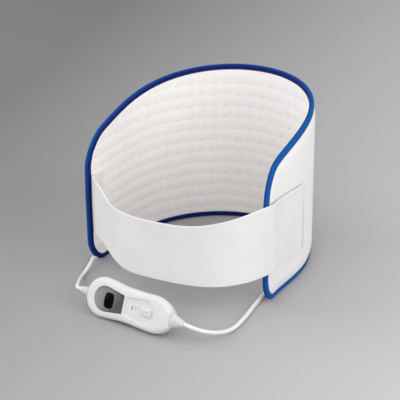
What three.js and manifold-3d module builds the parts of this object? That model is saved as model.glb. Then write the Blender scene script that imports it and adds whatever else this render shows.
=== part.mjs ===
// Heating belt for the lower back, with its hand controller and mains lead. Millimetres, +Z up.
// The belt stands on its lower edge: its back is at +Y, its strap at the front, and the origin
// lies on the floor under the middle of the back.
import * as THREE from "three";
import { mergeVertices } from "three/addons/utils/BufferGeometryUtils.js";
import Module from "manifold-3d";

const wasm = await Module();
wasm.setup();

// Clearance between pieces that touch, and the looser one round a piece that runs free
const GAP = 0.3;
const RUNNING_GAP = 0.5;

// The pad as cut flat: tall in the middle, lower at both ends, round at its corners
const PAD_LENGTH = 691;
const PAD_HEIGHT = 246;
const TOP_FALL = 58;
const CORNER_RADIUS = 40;

// Its curve in plan: round at the back, straight along the wings, a trace of flare at the ends
const BACK_RADIUS = 124.4;
const WING_STRAIGHTENING = 1.104;
const WING_FLARE = 0.626;

// Its layers, from the outside in
const OUTER_COVER_WALL = 1.2;
const FELT_WALL = 1.7;
const WIRE_DIAMETER = 1.6;
const INNER_COVER_WALL = 1.3;
const QUILT_CROWN = 2.2;
const QUILT_COLUMN = 19;
const QUILT_ROW = 18;

// The binding that wraps its edge
const BINDING_WALL = 1;
const BINDING_DEPTH = 7;
const BINDING_ROUND = 1.6;

// Heating wire: upright runs joined by round turns, and one run back along the lower edge
const WIRE_RUNS = 12;
const WIRE_END_MARGIN = 70;
const WIRE_TURN = 10;
const WIRE_FACET = 13;
const WIRE_MARGIN = 30;
const WIRE_RETURN_HEIGHT = 12;
const JOINT_BLOCK_LENGTH = 16;
const JOINT_BLOCK_HEIGHT = 16;
const JOINT_BLOCK_THICKNESS = 1.7;
const CUTOUT_LENGTH = 10;
const CUTOUT_HEIGHT = 16;
const CUTOUT_THICKNESS = 1.3;

// Strap across the front. Each place on it is a share of the way from wing end to wing end, how far
// it lies in front of them, and the heights of its lower and upper edge there.
const STRAP_PLACES = [
  [0.052, -3, 52, 134], [0.093, 4, 50.5, 130.5], [0.142, 15, 49.5, 127], [0.21, 32.5, 48.5, 124.5],
  [0.266, 46.5, 48, 124.5], [0.334, 61.5, 48, 127], [0.394, 71.5, 48, 129], [0.457, 77, 48.5, 129.5],
  [0.539, 79, 49, 130], [0.624, 79.5, 49.5, 131], [0.709, 78.5, 50, 133], [0.794, 74.5, 50.5, 137.5],
  [0.868, 66.5, 51, 142], [0.928, 54, 51.5, 146], [0.978, 37, 52, 150], [1.012, 18, 52.5, 152.5],
];
const STRAP_THICKNESS = 3;
const STRAP_SEWN = 34;
const STRAP_SEWN_MARGIN = 12;
const STRAP_SEWN_LIFT = 0.35;
const STRAP_SEWN_LOW = 53;
const STRAP_SEWN_HIGH = 139;

// Its free end on the right wing, with hook and loop patches under it
const TAB_LENGTH = 114;
const TAB_ROOT_LOW = 53;
const TAB_ROOT_HIGH = 152.5;
const TAB_END_LOW = 46;
const TAB_END_HIGH = 143;
const LOOP_PATCH_WALL = 1.2;
const LOOP_PATCH_LENGTH = 106;
const HOOK_PATCH_WALL = 1;
const HOOK_PATCH_LENGTH = 74;
const PATCH_MARGIN = 6;

// Cords
const PAD_LEAD_DIAMETER = 4.8;
const MAINS_LEAD_DIAMETER = 5.6;
const COIL_CENTRE = new THREE.Vector2(-10, 57);
const COIL_LEAST_RADIUS = 23;
const COIL_TURNS = 6.25;
const COIL_SPACE = 0.5;
const TIE_WALL = 1.2;
const TIE_WIDTH = 9;
const TIE_ANGLE = 40;

// Inlet gland in the lower corner of the left wing, with an elbow towards the controller
const GLAND_RADIUS = 3.4;
const GLAND_TIP_RADIUS = 2.8;
const GLAND_INSIDE = 16;
const GLAND_OUTSIDE = 5;
const GLAND_NOZZLE = 9;
const GLAND_ELBOW_DEGREES = 35;
const GLAND_HEIGHT = 9;

// Where the pad's lower edge rises over the mains lead
const LIFT_HALF_LENGTH = 55;
const LIFT_COLUMN = 3;

// Hand controller: a dog-bone outline with a drafted lower half, on whose side wall it stands
const CASE_LENGTH = 142;
const HEAD_RADIUS = 27.3;
const WAIST_HALF_WIDTH = 23.9;
const SHOULDER_HALF_WIDTH = 25;
const SHOULDER_FROM_END = 28;
const END_HALF_WIDTH = 10.8;
const END_ROUNDING = 4;
const UPPER_DEPTH = 9;
const LOWER_DEPTH = 19;
const CASE_WALL = 2;
const TOP_WALL = 2.6;
const WALL_DRAFT_DEGREES = 20;
const CONTROLLER_PLACE = new THREE.Vector2(8.3, -395.6);
const CONTROLLER_TURN_DEGREES = -8;

// Its face: display panel, window, switch recess and slide switch
const PANEL_RADIUS = 17;
const PANEL_LEFT = 16.5;
const PANEL_LENGTH = 49;
const PANEL_END_HALF_WIDTH = 12.7;
const PANEL_WALL = 1.6;
const WINDOW_LENGTH = 21;
const WINDOW_WIDTH = 13.5;
const WINDOW_FROM_LEFT = 41.8;
const RECESS_HALF_WIDTH = 15.5;
const RECESS_LENGTH = 47.4;
const RECESS_RIM = 2.2;
const RECESS_DEPTH = 1.2;
const KNOB_LENGTH = 17;
const KNOB_WIDTH = 11;
const KNOB_HEIGHT = 2.2;
const KNOB_RIBS = 3;
const KNOB_FROM_RECESS_END = 10.6;
const STEM_LENGTH = 5;
const STEM_WIDTH = 3.6;
const SWITCH_TRAVEL = 16;

// Inside it
const BOARD_WALL = 1.6;
const BOARD_INSET = 5.4;
const BOARD_TOP = -1;
const POST_RADIUS = 3;
const POST_BORE = 1.2;
const POST_FROM_END = 24;
const POST_SPREAD = 13;
const SCREW_RADIUS = 1.5;
const SCREW_HEAD_RADIUS = 2.6;
const SCREW_HEAD_HEIGHT = 1.8;
const SCREW_LENGTH = 15;
const DISPLAY_HEIGHT = 5.6;
const DISPLAY_MARGIN = 1.5;
const SWITCH_LENGTH = 32;
const SWITCH_WIDTH = 9;
const TRIAC_SIZE = 10;
const TRIAC_THICKNESS = 4.5;
const TRIAC_FLAG_LENGTH = 5.6;
const TRIAC_FLAG_WALL = 1.3;
const FUSE_LENGTH = 20;
const FUSE_RADIUS = 2.6;
const CAPACITOR_LENGTH = 18;
const CAPACITOR_WIDTH = 8;
const CAPACITOR_DEPTH = 10.5;
const CAPACITOR_PLACE = -24;
const PARTS_PLACE = 4;
const PARTS_ROW = 10;

// Cord boots on both ends of the controller, and the bars that hold their stubs
const MAINS_BOOT_LENGTH = 20;
const MAINS_BOOT_RIBS = 5;
const PAD_BOOT_LENGTH = 14;
const PAD_BOOT_RIBS = 3;
const BOOT_HALF_HEIGHT = 6.6;
const BOOT_STUB_RADIUS = 3.2;
const BOOT_STUB_LENGTH = 16;
const CLAMP_LENGTH = 6;
const CLAMP_WIDTH = 14;
const CLAMP_WALL = 3;

// Mains plug, flat with two pins
const PLUG_WIDTH = 33;
const PLUG_THICKNESS = 13.7;
const PLUG_BODY_LENGTH = 36;
const PLUG_TAIL_LENGTH = 22;
const PIN_DIAMETER = 4;
const PIN_LENGTH = 19;
const PIN_SPACING = 19;
const PLUG_PLACE = new THREE.Vector2(-64, 94);
const PLUG_TURN_DEGREES = 186;

// Values that follow from these
const HALF_LENGTH = PAD_LENGTH / 2;
const WIRE_PITCH = (PAD_LENGTH - 2 * WIRE_END_MARGIN) / (WIRE_RUNS - 1);
const FELT_IN = GAP / 2;
const FELT_OUT = FELT_IN + FELT_WALL;
const OUTER_IN = FELT_OUT + GAP;
const OUTER_OUT = OUTER_IN + OUTER_COVER_WALL;
const WIRE_CENTRE = FELT_IN - GAP - WIRE_DIAMETER / 2;
const INNER_OUT = WIRE_CENTRE - WIRE_DIAMETER / 2 - GAP;
const INNER_IN = INNER_OUT - INNER_COVER_WALL;
const EDGE_INSET = BINDING_WALL + 2 * GAP;
const BINDING_HALF = Math.max(OUTER_OUT, -INNER_IN) + GAP + BINDING_WALL;
const LEAD_LIFT = MAINS_LEAD_DIAMETER + 6 * GAP;
const LEAN = THREE.MathUtils.degToRad(WALL_DRAFT_DEGREES);

// Materials
const finish = (color, roughness, metalness = 0) =>
  new THREE.MeshStandardMaterial({ color, roughness, metalness });
const WHITE_FABRIC = finish(0xe3e1e0, 0.9);
const QUILT_FABRIC = finish(0xdad8d6, 0.9);
const BLUE_TAPE = finish(0x1b5fa6, 0.7);
const STRAP_FABRIC = finish(0xe6e4e3, 0.85);
const FELT = finish(0xcfcac2, 1);
const WIRE_SLEEVE = finish(0xb9663a, 0.5);
const WHITE_PLASTIC = finish(0xe6e4e2, 0.35);
const GREY_PLASTIC = finish(0x6f6c6c, 0.4);
const BLACK_GLOSS = finish(0x0a0a0c, 0.1);
const CORD_SHEATH = finish(0xe4e2e0, 0.45);
const BOARD_GREEN = finish(0x2f6b3f, 0.5);
const DARK_PLASTIC = finish(0x2a2a2c, 0.5);
const STEEL = finish(0xb5b7ba, 0.3, 1);

const belt = new THREE.Group();
const controller = new THREE.Group();
belt.add(controller);

function addPiece(name, geometry, material, parent = belt) {
  const mesh = new THREE.Mesh(geometry, material);
  mesh.name = name;
  parent.add(mesh);
  return mesh;
}

// A closed surface from points and triangles, turned to face outwards
function closedGeometry(points, faces) {
  let volume = 0;
  for (const [a, b, c] of faces) volume += points[a].dot(points[b].clone().cross(points[c]));
  const index = faces.flatMap(([a, b, c]) => (volume > 0 ? [a, b, c] : [a, c, b]));
  const geometry = new THREE.BufferGeometry().setFromPoints(points);
  geometry.setIndex(index);
  return geometry;
}

// A skin over rings of points. An open run of rings is closed by a fan at each end.
function loft(rings, closedRun = false) {
  const size = rings[0].length;
  const points = rings.flat();
  const faces = [];
  const spans = closedRun ? rings.length : rings.length - 1;
  for (let i = 0; i < spans; i++) {
    const a = i * size;
    const b = ((i + 1) % rings.length) * size;
    for (let j = 0; j < size; j++) {
      const k = (j + 1) % size;
      faces.push([a + j, a + k, b + k], [a + j, b + k, b + j]);
    }
  }
  if (!closedRun) {
    const centre = (ring) => ring.reduce((sum, p) => sum.add(p), new THREE.Vector3()).divideScalar(size);
    const last = (rings.length - 1) * size;
    points.push(centre(rings[0]), centre(rings[rings.length - 1]));
    for (let j = 0; j < size; j++) {
      const k = (j + 1) % size;
      faces.push([points.length - 2, k, j], [points.length - 1, last + j, last + k]);
    }
  }
  return closedGeometry(points, faces);
}

// Boolean joins and cuts
function toSolid(geometry) {
  const bare = geometry.clone();
  bare.deleteAttribute("normal");
  bare.deleteAttribute("uv");
  const merged = mergeVertices(bare, 1e-4);
  const mesh = new wasm.Mesh({
    numProp: 3,
    vertProperties: new Float32Array(merged.attributes.position.array),
    triVerts: new Uint32Array(merged.index.array),
  });
  return new wasm.Manifold(mesh);
}

function toGeometry(solid) {
  const mesh = solid.getMesh();
  const geometry = new THREE.BufferGeometry();
  geometry.setAttribute("position", new THREE.BufferAttribute(mesh.vertProperties, 3));
  geometry.setIndex(new THREE.BufferAttribute(mesh.triVerts, 1));
  return geometry;
}

const cut = (geometry, ...tools) =>
  toGeometry(tools.reduce((solid, tool) => solid.subtract(toSolid(tool)), toSolid(geometry)));
const join = (...pieces) => toGeometry(pieces.map(toSolid).reduce((sum, solid) => sum.add(solid)));

function box(sizeX, sizeY, lowZ, highZ, x = 0, y = 0) {
  const geometry = new THREE.BoxGeometry(sizeX, sizeY, highZ - lowZ);
  return geometry.translate(x, y, (lowZ + highZ) / 2);
}

function upright(radius, lowZ, highZ, x = 0, y = 0, sides = 12) {
  const geometry = new THREE.CylinderGeometry(radius, radius, highZ - lowZ, sides);
  return geometry.rotateX(Math.PI / 2).translate(x, y, (lowZ + highZ) / 2);
}

function slab(shape, lowZ, highZ, curveSegments = 8) {
  const options = { depth: highZ - lowZ, bevelEnabled: false, curveSegments };
  return new THREE.ExtrudeGeometry(shape, options).translate(0, 0, lowZ);
}

// The pad's curve in plan. s runs along it from the middle of the back, to the right.
function turnAngle(s) {
  const u = s / HALF_LENGTH;
  const bend = u - (WING_STRAIGHTENING * u ** 3) / 3 - (WING_FLARE * u ** 5) / 5;
  return (HALF_LENGTH / BACK_RADIUS) * bend;
}

const PLAN_STEPS = 60;
const planCache = new Map();
function planPoint(s) {
  if (planCache.has(s)) return planCache.get(s);
  const step = s / PLAN_STEPS;
  const point = new THREE.Vector2();
  for (let i = 0; i < PLAN_STEPS; i++) {
    const angle = turnAngle((i + 0.5) * step);
    point.x += Math.cos(angle) * step;
    point.y -= Math.sin(angle) * step;
  }
  planCache.set(s, point);
  return point;
}

// A point of the pad: s along it, z up, and n outwards from its middle layer
function onPad(s, z, n) {
  const angle = turnAngle(s);
  const { x, y } = planPoint(s);
  return new THREE.Vector3(x + Math.sin(angle) * n, y + Math.cos(angle) * n, z);
}

// Upper and lower edge of the pad, drawn in by an inset. The lower edge rises over the mains lead.
const COLUMNS = Math.round((PAD_LENGTH - 2 * CORNER_RADIUS) / QUILT_COLUMN);
const COLUMN_PITCH = (PAD_LENGTH - 2 * CORNER_RADIUS) / COLUMNS;
const LIFT_PLACE = LIFT_COLUMN * COLUMN_PITCH;

function cornerRise(s, inset) {
  const into = Math.abs(s) - (HALF_LENGTH - CORNER_RADIUS);
  const radius = CORNER_RADIUS - inset;
  return into > 0 ? radius - Math.sqrt(Math.max(radius ** 2 - into ** 2, 0)) : 0;
}

function lowerEdge(s, inset = 0) {
  const away = Math.min(Math.abs(s - LIFT_PLACE) / LIFT_HALF_LENGTH, 1);
  const lift = (LEAD_LIFT * (1 + Math.cos(Math.PI * away))) / 2;
  return inset + lift + cornerRise(s, inset);
}

function upperEdge(s, inset = 0) {
  return PAD_HEIGHT - TOP_FALL * (s / HALF_LENGTH) ** 2 - inset - cornerRise(s, inset);
}

// The places along the pad where its facets meet, the same for every layer
const CORNER_STEPS = 4;
function columnPlaces(inset) {
  const straight = HALF_LENGTH - CORNER_RADIUS;
  const middle = Array.from({ length: COLUMNS + 1 }, (_, i) => i * COLUMN_PITCH - straight);
  const corner = Array.from({ length: CORNER_STEPS }, (_, i) => {
    const angle = ((i + 1) * Math.PI) / 2 / CORNER_STEPS;
    return straight + (CORNER_RADIUS - inset) * Math.sin(angle);
  });
  return [...corner.map((s) => -s).reverse(), ...middle, ...corner];
}

// One layer of the pad between two distances from its middle
function padLayer(places, low, high, nIn, nOut) {
  const points = [];
  for (const s of places) {
    const corners = [[low(s), nIn], [high(s), nIn], [high(s), nOut], [low(s), nOut]];
    points.push(corners.map(([z, n]) => onPad(s, z, n)));
  }
  return points;
}

const plainLayer = (inset, nIn, nOut) =>
  loft(padLayer(columnPlaces(inset), (s) => lowerEdge(s, inset), (s) => upperEdge(s, inset), nIn, nOut));

const padPatch = (places, lowZ, highZ, nIn, nOut) =>
  loft(padLayer(places, () => lowZ, () => highZ, nIn, nOut));

const between = (start, end, steps) =>
  Array.from({ length: steps + 1 }, (_, i) => start + ((end - start) * i) / steps);

// The inner cover: sewn down at every crossing of a grid, and crowned between
function quiltedCover() {
  const points = [];
  const faces = [];
  const keep = (s, z, n) => points.push(onPad(s, z, n)) - 1;
  const places = columnPlaces(EDGE_INSET);
  const straight = HALF_LENGTH - CORNER_RADIUS;
  const columns = places.map((s) => {
    const low = lowerEdge(s, EDGE_INSET);
    const high = upperEdge(s, EDGE_INSET);
    const sewn = Math.abs(s) <= straight + GAP ? Math.floor((high - QUILT_ROW / 3) / QUILT_ROW) : 0;
    const heights = [low, ...Array.from({ length: sewn }, (_, j) => (j + 1) * QUILT_ROW), high];
    return {
      s,
      heights,
      face: heights.map((z) => keep(s, z, INNER_IN)),
      backLow: keep(s, low, INNER_OUT),
      backHigh: keep(s, high, INNER_OUT),
    };
  });
  for (let i = 0; i + 1 < columns.length; i++) {
    const [left, right] = [columns[i], columns[i + 1]];
    let a = 0;
    let b = 0;
    const rows = Math.min(left.heights.length, right.heights.length) - 2;
    for (let j = 1; j < rows; j++) {
      const middle = (left.heights[j] + left.heights[j + 1]) / 2;
      const crown = keep((left.s + right.s) / 2, middle, INNER_IN - QUILT_CROWN);
      const cell = [left.face[j], right.face[j], right.face[j + 1], left.face[j + 1]];
      cell.forEach((corner, k) => faces.push([corner, cell[(k + 1) % 4], crown]));
    }
    const climb = (lastA, lastB) => {
      while (a < lastA || b < lastB) {
        const onLeft = b >= lastB || (a < lastA && left.heights[a + 1] <= right.heights[b + 1]);
        const next = onLeft ? left.face[a + 1] : right.face[b + 1];
        faces.push([left.face[a], right.face[b], next]);
        if (onLeft) a++;
        else b++;
      }
    };
    const firstRow = rows > 1 ? 1 : 0;
    climb(firstRow, firstRow);
    if (rows > 1) a = b = rows;
    climb(left.heights.length - 1, right.heights.length - 1);
    const quads = [
      [left.backLow, left.backHigh, right.backHigh, right.backLow],
      [right.face[0], left.face[0], left.backLow, right.backLow],
      [left.face.at(-1), right.face.at(-1), right.backHigh, left.backHigh],
    ];
    for (const [p, q, r, t] of quads) faces.push([p, q, r], [p, r, t]);
  }
  const [first, last] = [columns[0], columns.at(-1)];
  const ends = [
    [first.face[0], first.face.at(-1), first.backHigh, first.backLow],
    [last.face.at(-1), last.face[0], last.backLow, last.backHigh],
  ];
  for (const [p, q, r, t] of ends) faces.push([p, q, r], [p, r, t]);
  return closedGeometry(points, faces);
}

// The binding: a folded tape that runs round the whole outline
function bindingTape() {
  const half = BINDING_HALF;
  const inside = half - BINDING_WALL;
  const section = [
    [BINDING_DEPTH, -half], [BINDING_ROUND, -half], [0, BINDING_ROUND - half],
    [0, half - BINDING_ROUND], [BINDING_ROUND, half], [BINDING_DEPTH, half],
    [BINDING_DEPTH, inside], [BINDING_WALL, inside], [BINDING_WALL, -inside], [BINDING_DEPTH, -inside],
  ];
  const straight = HALF_LENGTH - CORNER_RADIUS;
  const middle = between(-straight, straight, COLUMNS);
  const outline = [];
  const edge = (s, z, inS, inZ) => outline.push({ s, z, inS, inZ });
  const corner = (side, atTop, towardsEnd) => {
    for (let i = 1; i <= CORNER_STEPS + 1; i++) {
      const share = i / (CORNER_STEPS + 2);
      const angle = ((towardsEnd ? share : 1 - share) * Math.PI) / 2;
      const s = side * (straight + CORNER_RADIUS * Math.sin(angle));
      const inwards = atTop ? -Math.cos(angle) : Math.cos(angle);
      edge(s, atTop ? upperEdge(s) : lowerEdge(s), -side * Math.sin(angle), inwards);
    }
  };
  const end = (side) => {
    const heights = between(lowerEdge(side * HALF_LENGTH), upperEdge(side * HALF_LENGTH), 2);
    if (side < 0) heights.reverse();
    heights.forEach((z) => edge(side * HALF_LENGTH, z, -side, 0));
  };
  middle.forEach((s) => edge(s, lowerEdge(s), 0, 1));
  corner(1, false, true);
  end(1);
  corner(1, true, false);
  middle.reverse().forEach((s) => edge(s, upperEdge(s), 0, -1));
  corner(-1, true, true);
  end(-1);
  corner(-1, false, false);
  const rings = outline.map(({ s, z, inS, inZ }) =>
    section.map(([depth, n]) => onPad(s + inS * depth, z + inZ * depth, n)));
  return loft(rings, true);
}

// The heating wire, as a tube that follows a path of places and heights on the pad
const wireFirst = -((WIRE_RUNS - 1) * WIRE_PITCH) / 2;
const wireStart = wireFirst - 2 * WIRE_TURN;
function heatingWire() {
  const path = [];
  const low = WIRE_MARGIN;
  const arc = (s, z, from, to, steps = 3) => {
    for (const angle of between(from, to, steps)) {
      path.push([s + WIRE_TURN * Math.cos(angle), z + WIRE_TURN * Math.sin(angle)]);
    }
  };
  const quarter = Math.PI / 2;
  const across = (from, to, z) => {
    const steps = Math.ceil(Math.abs(to - from) / WIRE_FACET);
    between(from, to, steps).slice(1, -1).forEach((s) => path.push([s, z]));
  };
  path.push([wireStart, low - WIRE_TURN]);
  for (let run = 0; run < WIRE_RUNS; run++) {
    const s = wireFirst + run * WIRE_PITCH;
    const next = s + WIRE_PITCH;
    const high = Math.min(upperEdge(s), upperEdge(next)) - WIRE_MARGIN;
    const lastRun = run === WIRE_RUNS - 1;
    if (run % 2 === 0) {
      if (run === 0) arc(s - WIRE_TURN, low, -quarter, 0);
      arc(s + WIRE_TURN, high, 2 * quarter, quarter);
      across(s + WIRE_TURN, next - WIRE_TURN, high + WIRE_TURN);
      arc(next - WIRE_TURN, high, quarter, 0);
    } else if (!lastRun) {
      arc(s + WIRE_TURN, low, 2 * quarter, 3 * quarter);
      across(s + WIRE_TURN, next - WIRE_TURN, low - WIRE_TURN);
      arc(next - WIRE_TURN, low, -quarter, 0);
    } else {
      arc(s - WIRE_TURN, WIRE_RETURN_HEIGHT + WIRE_TURN, 0, -quarter);
      across(s - WIRE_TURN, wireStart, WIRE_RETURN_HEIGHT);
      path.push([wireStart, WIRE_RETURN_HEIGHT]);
    }
  }
  const sides = 5;
  const radius = WIRE_DIAMETER / 2;
  const rings = path.map(([s, z], i) => {
    const [s0, z0] = path[Math.max(i - 1, 0)];
    const [s1, z1] = path[Math.min(i + 1, path.length - 1)];
    const length = Math.hypot(s1 - s0, z1 - z0);
    const side = [-(z1 - z0) / length, (s1 - s0) / length];
    return between(0, 2 * Math.PI, sides).slice(1).map((angle) => {
      const out = radius * Math.cos(angle);
      return onPad(s + side[0] * out, z + side[1] * out, WIRE_CENTRE + radius * Math.sin(angle));
    });
  });
  return loft(rings);
}

// A band of even thickness between a lower and an upper edge
function band(lower, upper, thickness) {
  const last = lower.length - 1;
  const rings = lower.map((low, i) => {
    const along = lower[Math.min(i + 1, last)].clone().sub(lower[Math.max(i - 1, 0)]);
    const out = new THREE.Vector3(along.y, -along.x, 0).setLength(thickness / 2);
    const high = upper[i];
    return [low.clone().add(out), high.clone().add(out), high.clone().sub(out), low.clone().sub(out)];
  });
  return loft(rings);
}

// A round cord along hand-chosen points
function cord(points, diameter, steps, sides = 10) {
  const curve = new THREE.CatmullRomCurve3(points, false, "centripetal");
  const ring = new THREE.Shape();
  ring.absarc(0, 0, diameter / 2, 0, 2 * Math.PI);
  const options = { steps, extrudePath: curve, bevelEnabled: false, curveSegments: sides };
  return new THREE.ExtrudeGeometry(ring, options);
}

// Pad: covers, felt, wire and binding
const glandInset = CORNER_RADIUS - Math.sqrt(CORNER_RADIUS ** 2 - (CORNER_RADIUS - GLAND_HEIGHT) ** 2);
const glandS = glandInset - HALF_LENGTH;
const glandBase = onPad(glandS, GLAND_HEIGHT, 0);
const glandAim = onPad(glandS - 1, GLAND_HEIGHT, 0).sub(glandBase).normalize();
const leadAim = glandAim.clone().applyAxisAngle(
  new THREE.Vector3(0, 0, 1), THREE.MathUtils.degToRad(GLAND_ELBOW_DEGREES));
const glandElbow = glandBase.clone().addScaledVector(glandAim, GLAND_OUTSIDE);
const outOfGland = (distance) => glandElbow.clone().addScaledVector(leadAim, GLAND_NOZZLE + distance);

// A turned piece whose axis starts at a place and runs towards an aim
function turnedAlong(profile, start, aim, sides = 14) {
  const geometry = new THREE.LatheGeometry(profile.map(([r, along]) => new THREE.Vector2(r, along)), sides);
  const turn = new THREE.Quaternion().setFromUnitVectors(new THREE.Vector3(0, 1, 0), aim);
  return geometry.applyQuaternion(turn).translate(start.x, start.y, start.z);
}

function glandBody() {
  const r = GLAND_RADIUS;
  const sleeve = [[0, GAP - GLAND_INSIDE], [r, GAP - GLAND_INSIDE], [r, GLAND_OUTSIDE], [0, GLAND_OUTSIDE]];
  const nozzle = [
    [0, 0], [r, 0], [r, 0.45 * GLAND_NOZZLE], [r - 0.7, 0.52 * GLAND_NOZZLE],
    [r - 0.3, 0.62 * GLAND_NOZZLE], [GLAND_TIP_RADIUS, GLAND_NOZZLE], [0, GLAND_NOZZLE],
  ];
  const ball = new THREE.SphereGeometry(r, 14, 10).translate(glandElbow.x, glandElbow.y, glandElbow.z);
  return join(turnedAlong(sleeve, glandBase, glandAim), ball, turnedAlong(nozzle, glandElbow, leadAim));
}

function glandHole() {
  const r = GLAND_RADIUS + GAP;
  const reach = GLAND_OUTSIDE + GLAND_NOZZLE;
  return turnedAlong([[0, -GLAND_INSIDE], [r, -GLAND_INSIDE], [r, reach], [0, reach]], glandBase, glandAim, 16);
}

addPiece("outer_cover", cut(plainLayer(EDGE_INSET, OUTER_IN, OUTER_OUT), glandHole()), WHITE_FABRIC);
addPiece("filling_felt", cut(plainLayer(EDGE_INSET, FELT_IN, FELT_OUT), glandHole()), FELT);
addPiece("inner_cover", cut(quiltedCover(), glandHole()), QUILT_FABRIC);
addPiece("edge_binding", cut(bindingTape(), glandHole()), BLUE_TAPE);
addPiece("heating_wire", heatingWire(), WIRE_SLEEVE);
addPiece("inlet_gland", glandBody(), WHITE_PLASTIC);

const blockPlaces = between(wireStart - GAP - JOINT_BLOCK_LENGTH, wireStart - GAP, 2);
const blockLow = (WIRE_RETURN_HEIGHT + WIRE_MARGIN - WIRE_TURN - JOINT_BLOCK_HEIGHT) / 2;
addPiece("wire_joint_block",
  padPatch(blockPlaces, blockLow, blockLow + JOINT_BLOCK_HEIGHT,
    FELT_IN - GAP - JOINT_BLOCK_THICKNESS, FELT_IN - GAP),
  DARK_PLASTIC);

[-1, 1].forEach((side) => {
  const place = side * (Math.floor(WIRE_RUNS / 4) - 0.5 + (WIRE_RUNS % 2) / 2) * WIRE_PITCH;
  const middle = place + WIRE_PITCH / 2 - CUTOUT_LENGTH / 2 - WIRE_DIAMETER / 2 - GAP;
  addPiece(side < 0 ? "thermal_cutout_left" : "thermal_cutout_right",
    padPatch(between(middle - CUTOUT_LENGTH / 2, middle + CUTOUT_LENGTH / 2, 2),
      (PAD_HEIGHT - CUTOUT_HEIGHT) / 2, (PAD_HEIGHT + CUTOUT_HEIGHT) / 2,
      FELT_IN - 2 * GAP - CUTOUT_THICKNESS, FELT_IN - 2 * GAP),
    DARK_PLASTIC);
});

// Strap: sewn to the inside of the left wing, round the front, and over the right wing
const sewnDepth = INNER_IN - GAP - STRAP_THICKNESS / 2;
const loopIn = OUTER_OUT + GAP;
const hookIn = loopIn + LOOP_PATCH_WALL + GAP;
const tabDepth = hookIn + HOOK_PATCH_WALL + GAP + STRAP_THICKNESS / 2;
const peelPlace = HALF_LENGTH + STRAP_THICKNESS;
const [leftEnd, rightEnd] = [onPad(-HALF_LENGTH, 0, 0), onPad(HALF_LENGTH, 0, 0)];

function strapEdge(sewn, edge, root) {
  const places = STRAP_PLACES.map((place) => {
    const [share, forward] = place;
    const point = leftEnd.clone().lerp(rightEnd, share);
    return point.set(point.x, point.y - forward, place[edge]);
  });
  const sewnPlaces = between(STRAP_SEWN, STRAP_SEWN_MARGIN, 2).map((inset, i) =>
    onPad(inset - HALF_LENGTH, sewn, sewnDepth - i ** 2 * STRAP_SEWN_LIFT));
  const end = onPad(peelPlace + STRAP_THICKNESS + GAP, root, tabDepth);
  const curve = new THREE.CatmullRomCurve3([...sewnPlaces, ...places, end], false, "centripetal");
  return curve.getPoints(4 * (sewnPlaces.length + places.length));
}
addPiece("front_strap",
  band(strapEdge(STRAP_SEWN_LOW, 2, TAB_ROOT_LOW), strapEdge(STRAP_SEWN_HIGH, 3, TAB_ROOT_HIGH),
    STRAP_THICKNESS), STRAP_FABRIC);

const tabPlaces = between(peelPlace, HALF_LENGTH - TAB_LENGTH, 10);
const tabEdge = (root, end) =>
  tabPlaces.map((s, i) => onPad(s, THREE.MathUtils.lerp(root, end, i / (tabPlaces.length - 1)), tabDepth));
addPiece("strap_tab",
  band(tabEdge(TAB_ROOT_LOW, TAB_END_LOW), tabEdge(TAB_ROOT_HIGH, TAB_END_HIGH), STRAP_THICKNESS),
  STRAP_FABRIC);
const patchLow = Math.max(TAB_ROOT_LOW, TAB_END_LOW) + PATCH_MARGIN;
const patchHigh = Math.min(TAB_ROOT_HIGH, TAB_END_HIGH) - PATCH_MARGIN;
const hookPlaces = between(HALF_LENGTH - TAB_LENGTH + PATCH_MARGIN,
  HALF_LENGTH - TAB_LENGTH + PATCH_MARGIN + HOOK_PATCH_LENGTH, 7);
addPiece("hook_patch",
  padPatch(hookPlaces, patchLow, patchHigh, hookIn, hookIn + HOOK_PATCH_WALL), STRAP_FABRIC);
const loopEnd = HALF_LENGTH - BINDING_DEPTH - RUNNING_GAP;
const loopPlaces = between(loopEnd - LOOP_PATCH_LENGTH, loopEnd, 9);
addPiece("loop_patch",
  padPatch(loopPlaces, patchLow, patchHigh, loopIn, loopIn + LOOP_PATCH_WALL), WHITE_FABRIC);

// Controller outline: a round head, drawn-in flanks, and a shoulder that narrows to the mains lead
const caseLeft = -CASE_LENGTH / 2;
const caseRight = CASE_LENGTH / 2;
const headCentre = caseLeft + HEAD_RADIUS;

function caseOutline() {
  const outline = new THREE.Shape();
  const shoulder = caseRight - SHOULDER_FROM_END;
  const middle = caseRight - SHOULDER_FROM_END / 2;
  const flank = [[(headCentre + shoulder) / 2, WAIST_HALF_WIDTH], [shoulder, SHOULDER_HALF_WIDTH]];
  outline.moveTo(caseRight, -END_HALF_WIDTH);
  outline.lineTo(caseRight, END_HALF_WIDTH);
  outline.bezierCurveTo(caseRight - END_ROUNDING, 0.72 * SHOULDER_HALF_WIDTH, middle, SHOULDER_HALF_WIDTH,
    shoulder, SHOULDER_HALF_WIDTH);
  outline.splineThru([...flank.map(([x, y]) => new THREE.Vector2(x, y)).reverse().slice(1),
    new THREE.Vector2(headCentre, HEAD_RADIUS)]);
  outline.absarc(headCentre, 0, HEAD_RADIUS, Math.PI / 2, 1.5 * Math.PI, false);
  outline.splineThru(flank.map(([x, y]) => new THREE.Vector2(x, -y)));
  outline.bezierCurveTo(middle, -SHOULDER_HALF_WIDTH, caseRight - END_ROUNDING, -0.72 * SHOULDER_HALF_WIDTH,
    caseRight, -END_HALF_WIDTH);
  return outline;
}

const OUTLINE_STEPS = 56;
const caseLine = caseOutline().getSpacedPoints(OUTLINE_STEPS).slice(0, OUTLINE_STEPS);
const insetLine = (inset) =>
  caseLine.map((point, i) => {
    const after = caseLine[(i + 1) % OUTLINE_STEPS];
    const before = caseLine[(i + OUTLINE_STEPS - 1) % OUTLINE_STEPS];
    const along = after.clone().sub(before).normalize();
    return new THREE.Vector2(point.x - along.y * inset, point.y + along.x * inset);
  });
const caseRing = (inset, height) => insetLine(inset).map(({ x, y }) => new THREE.Vector3(x, y, height));

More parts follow.
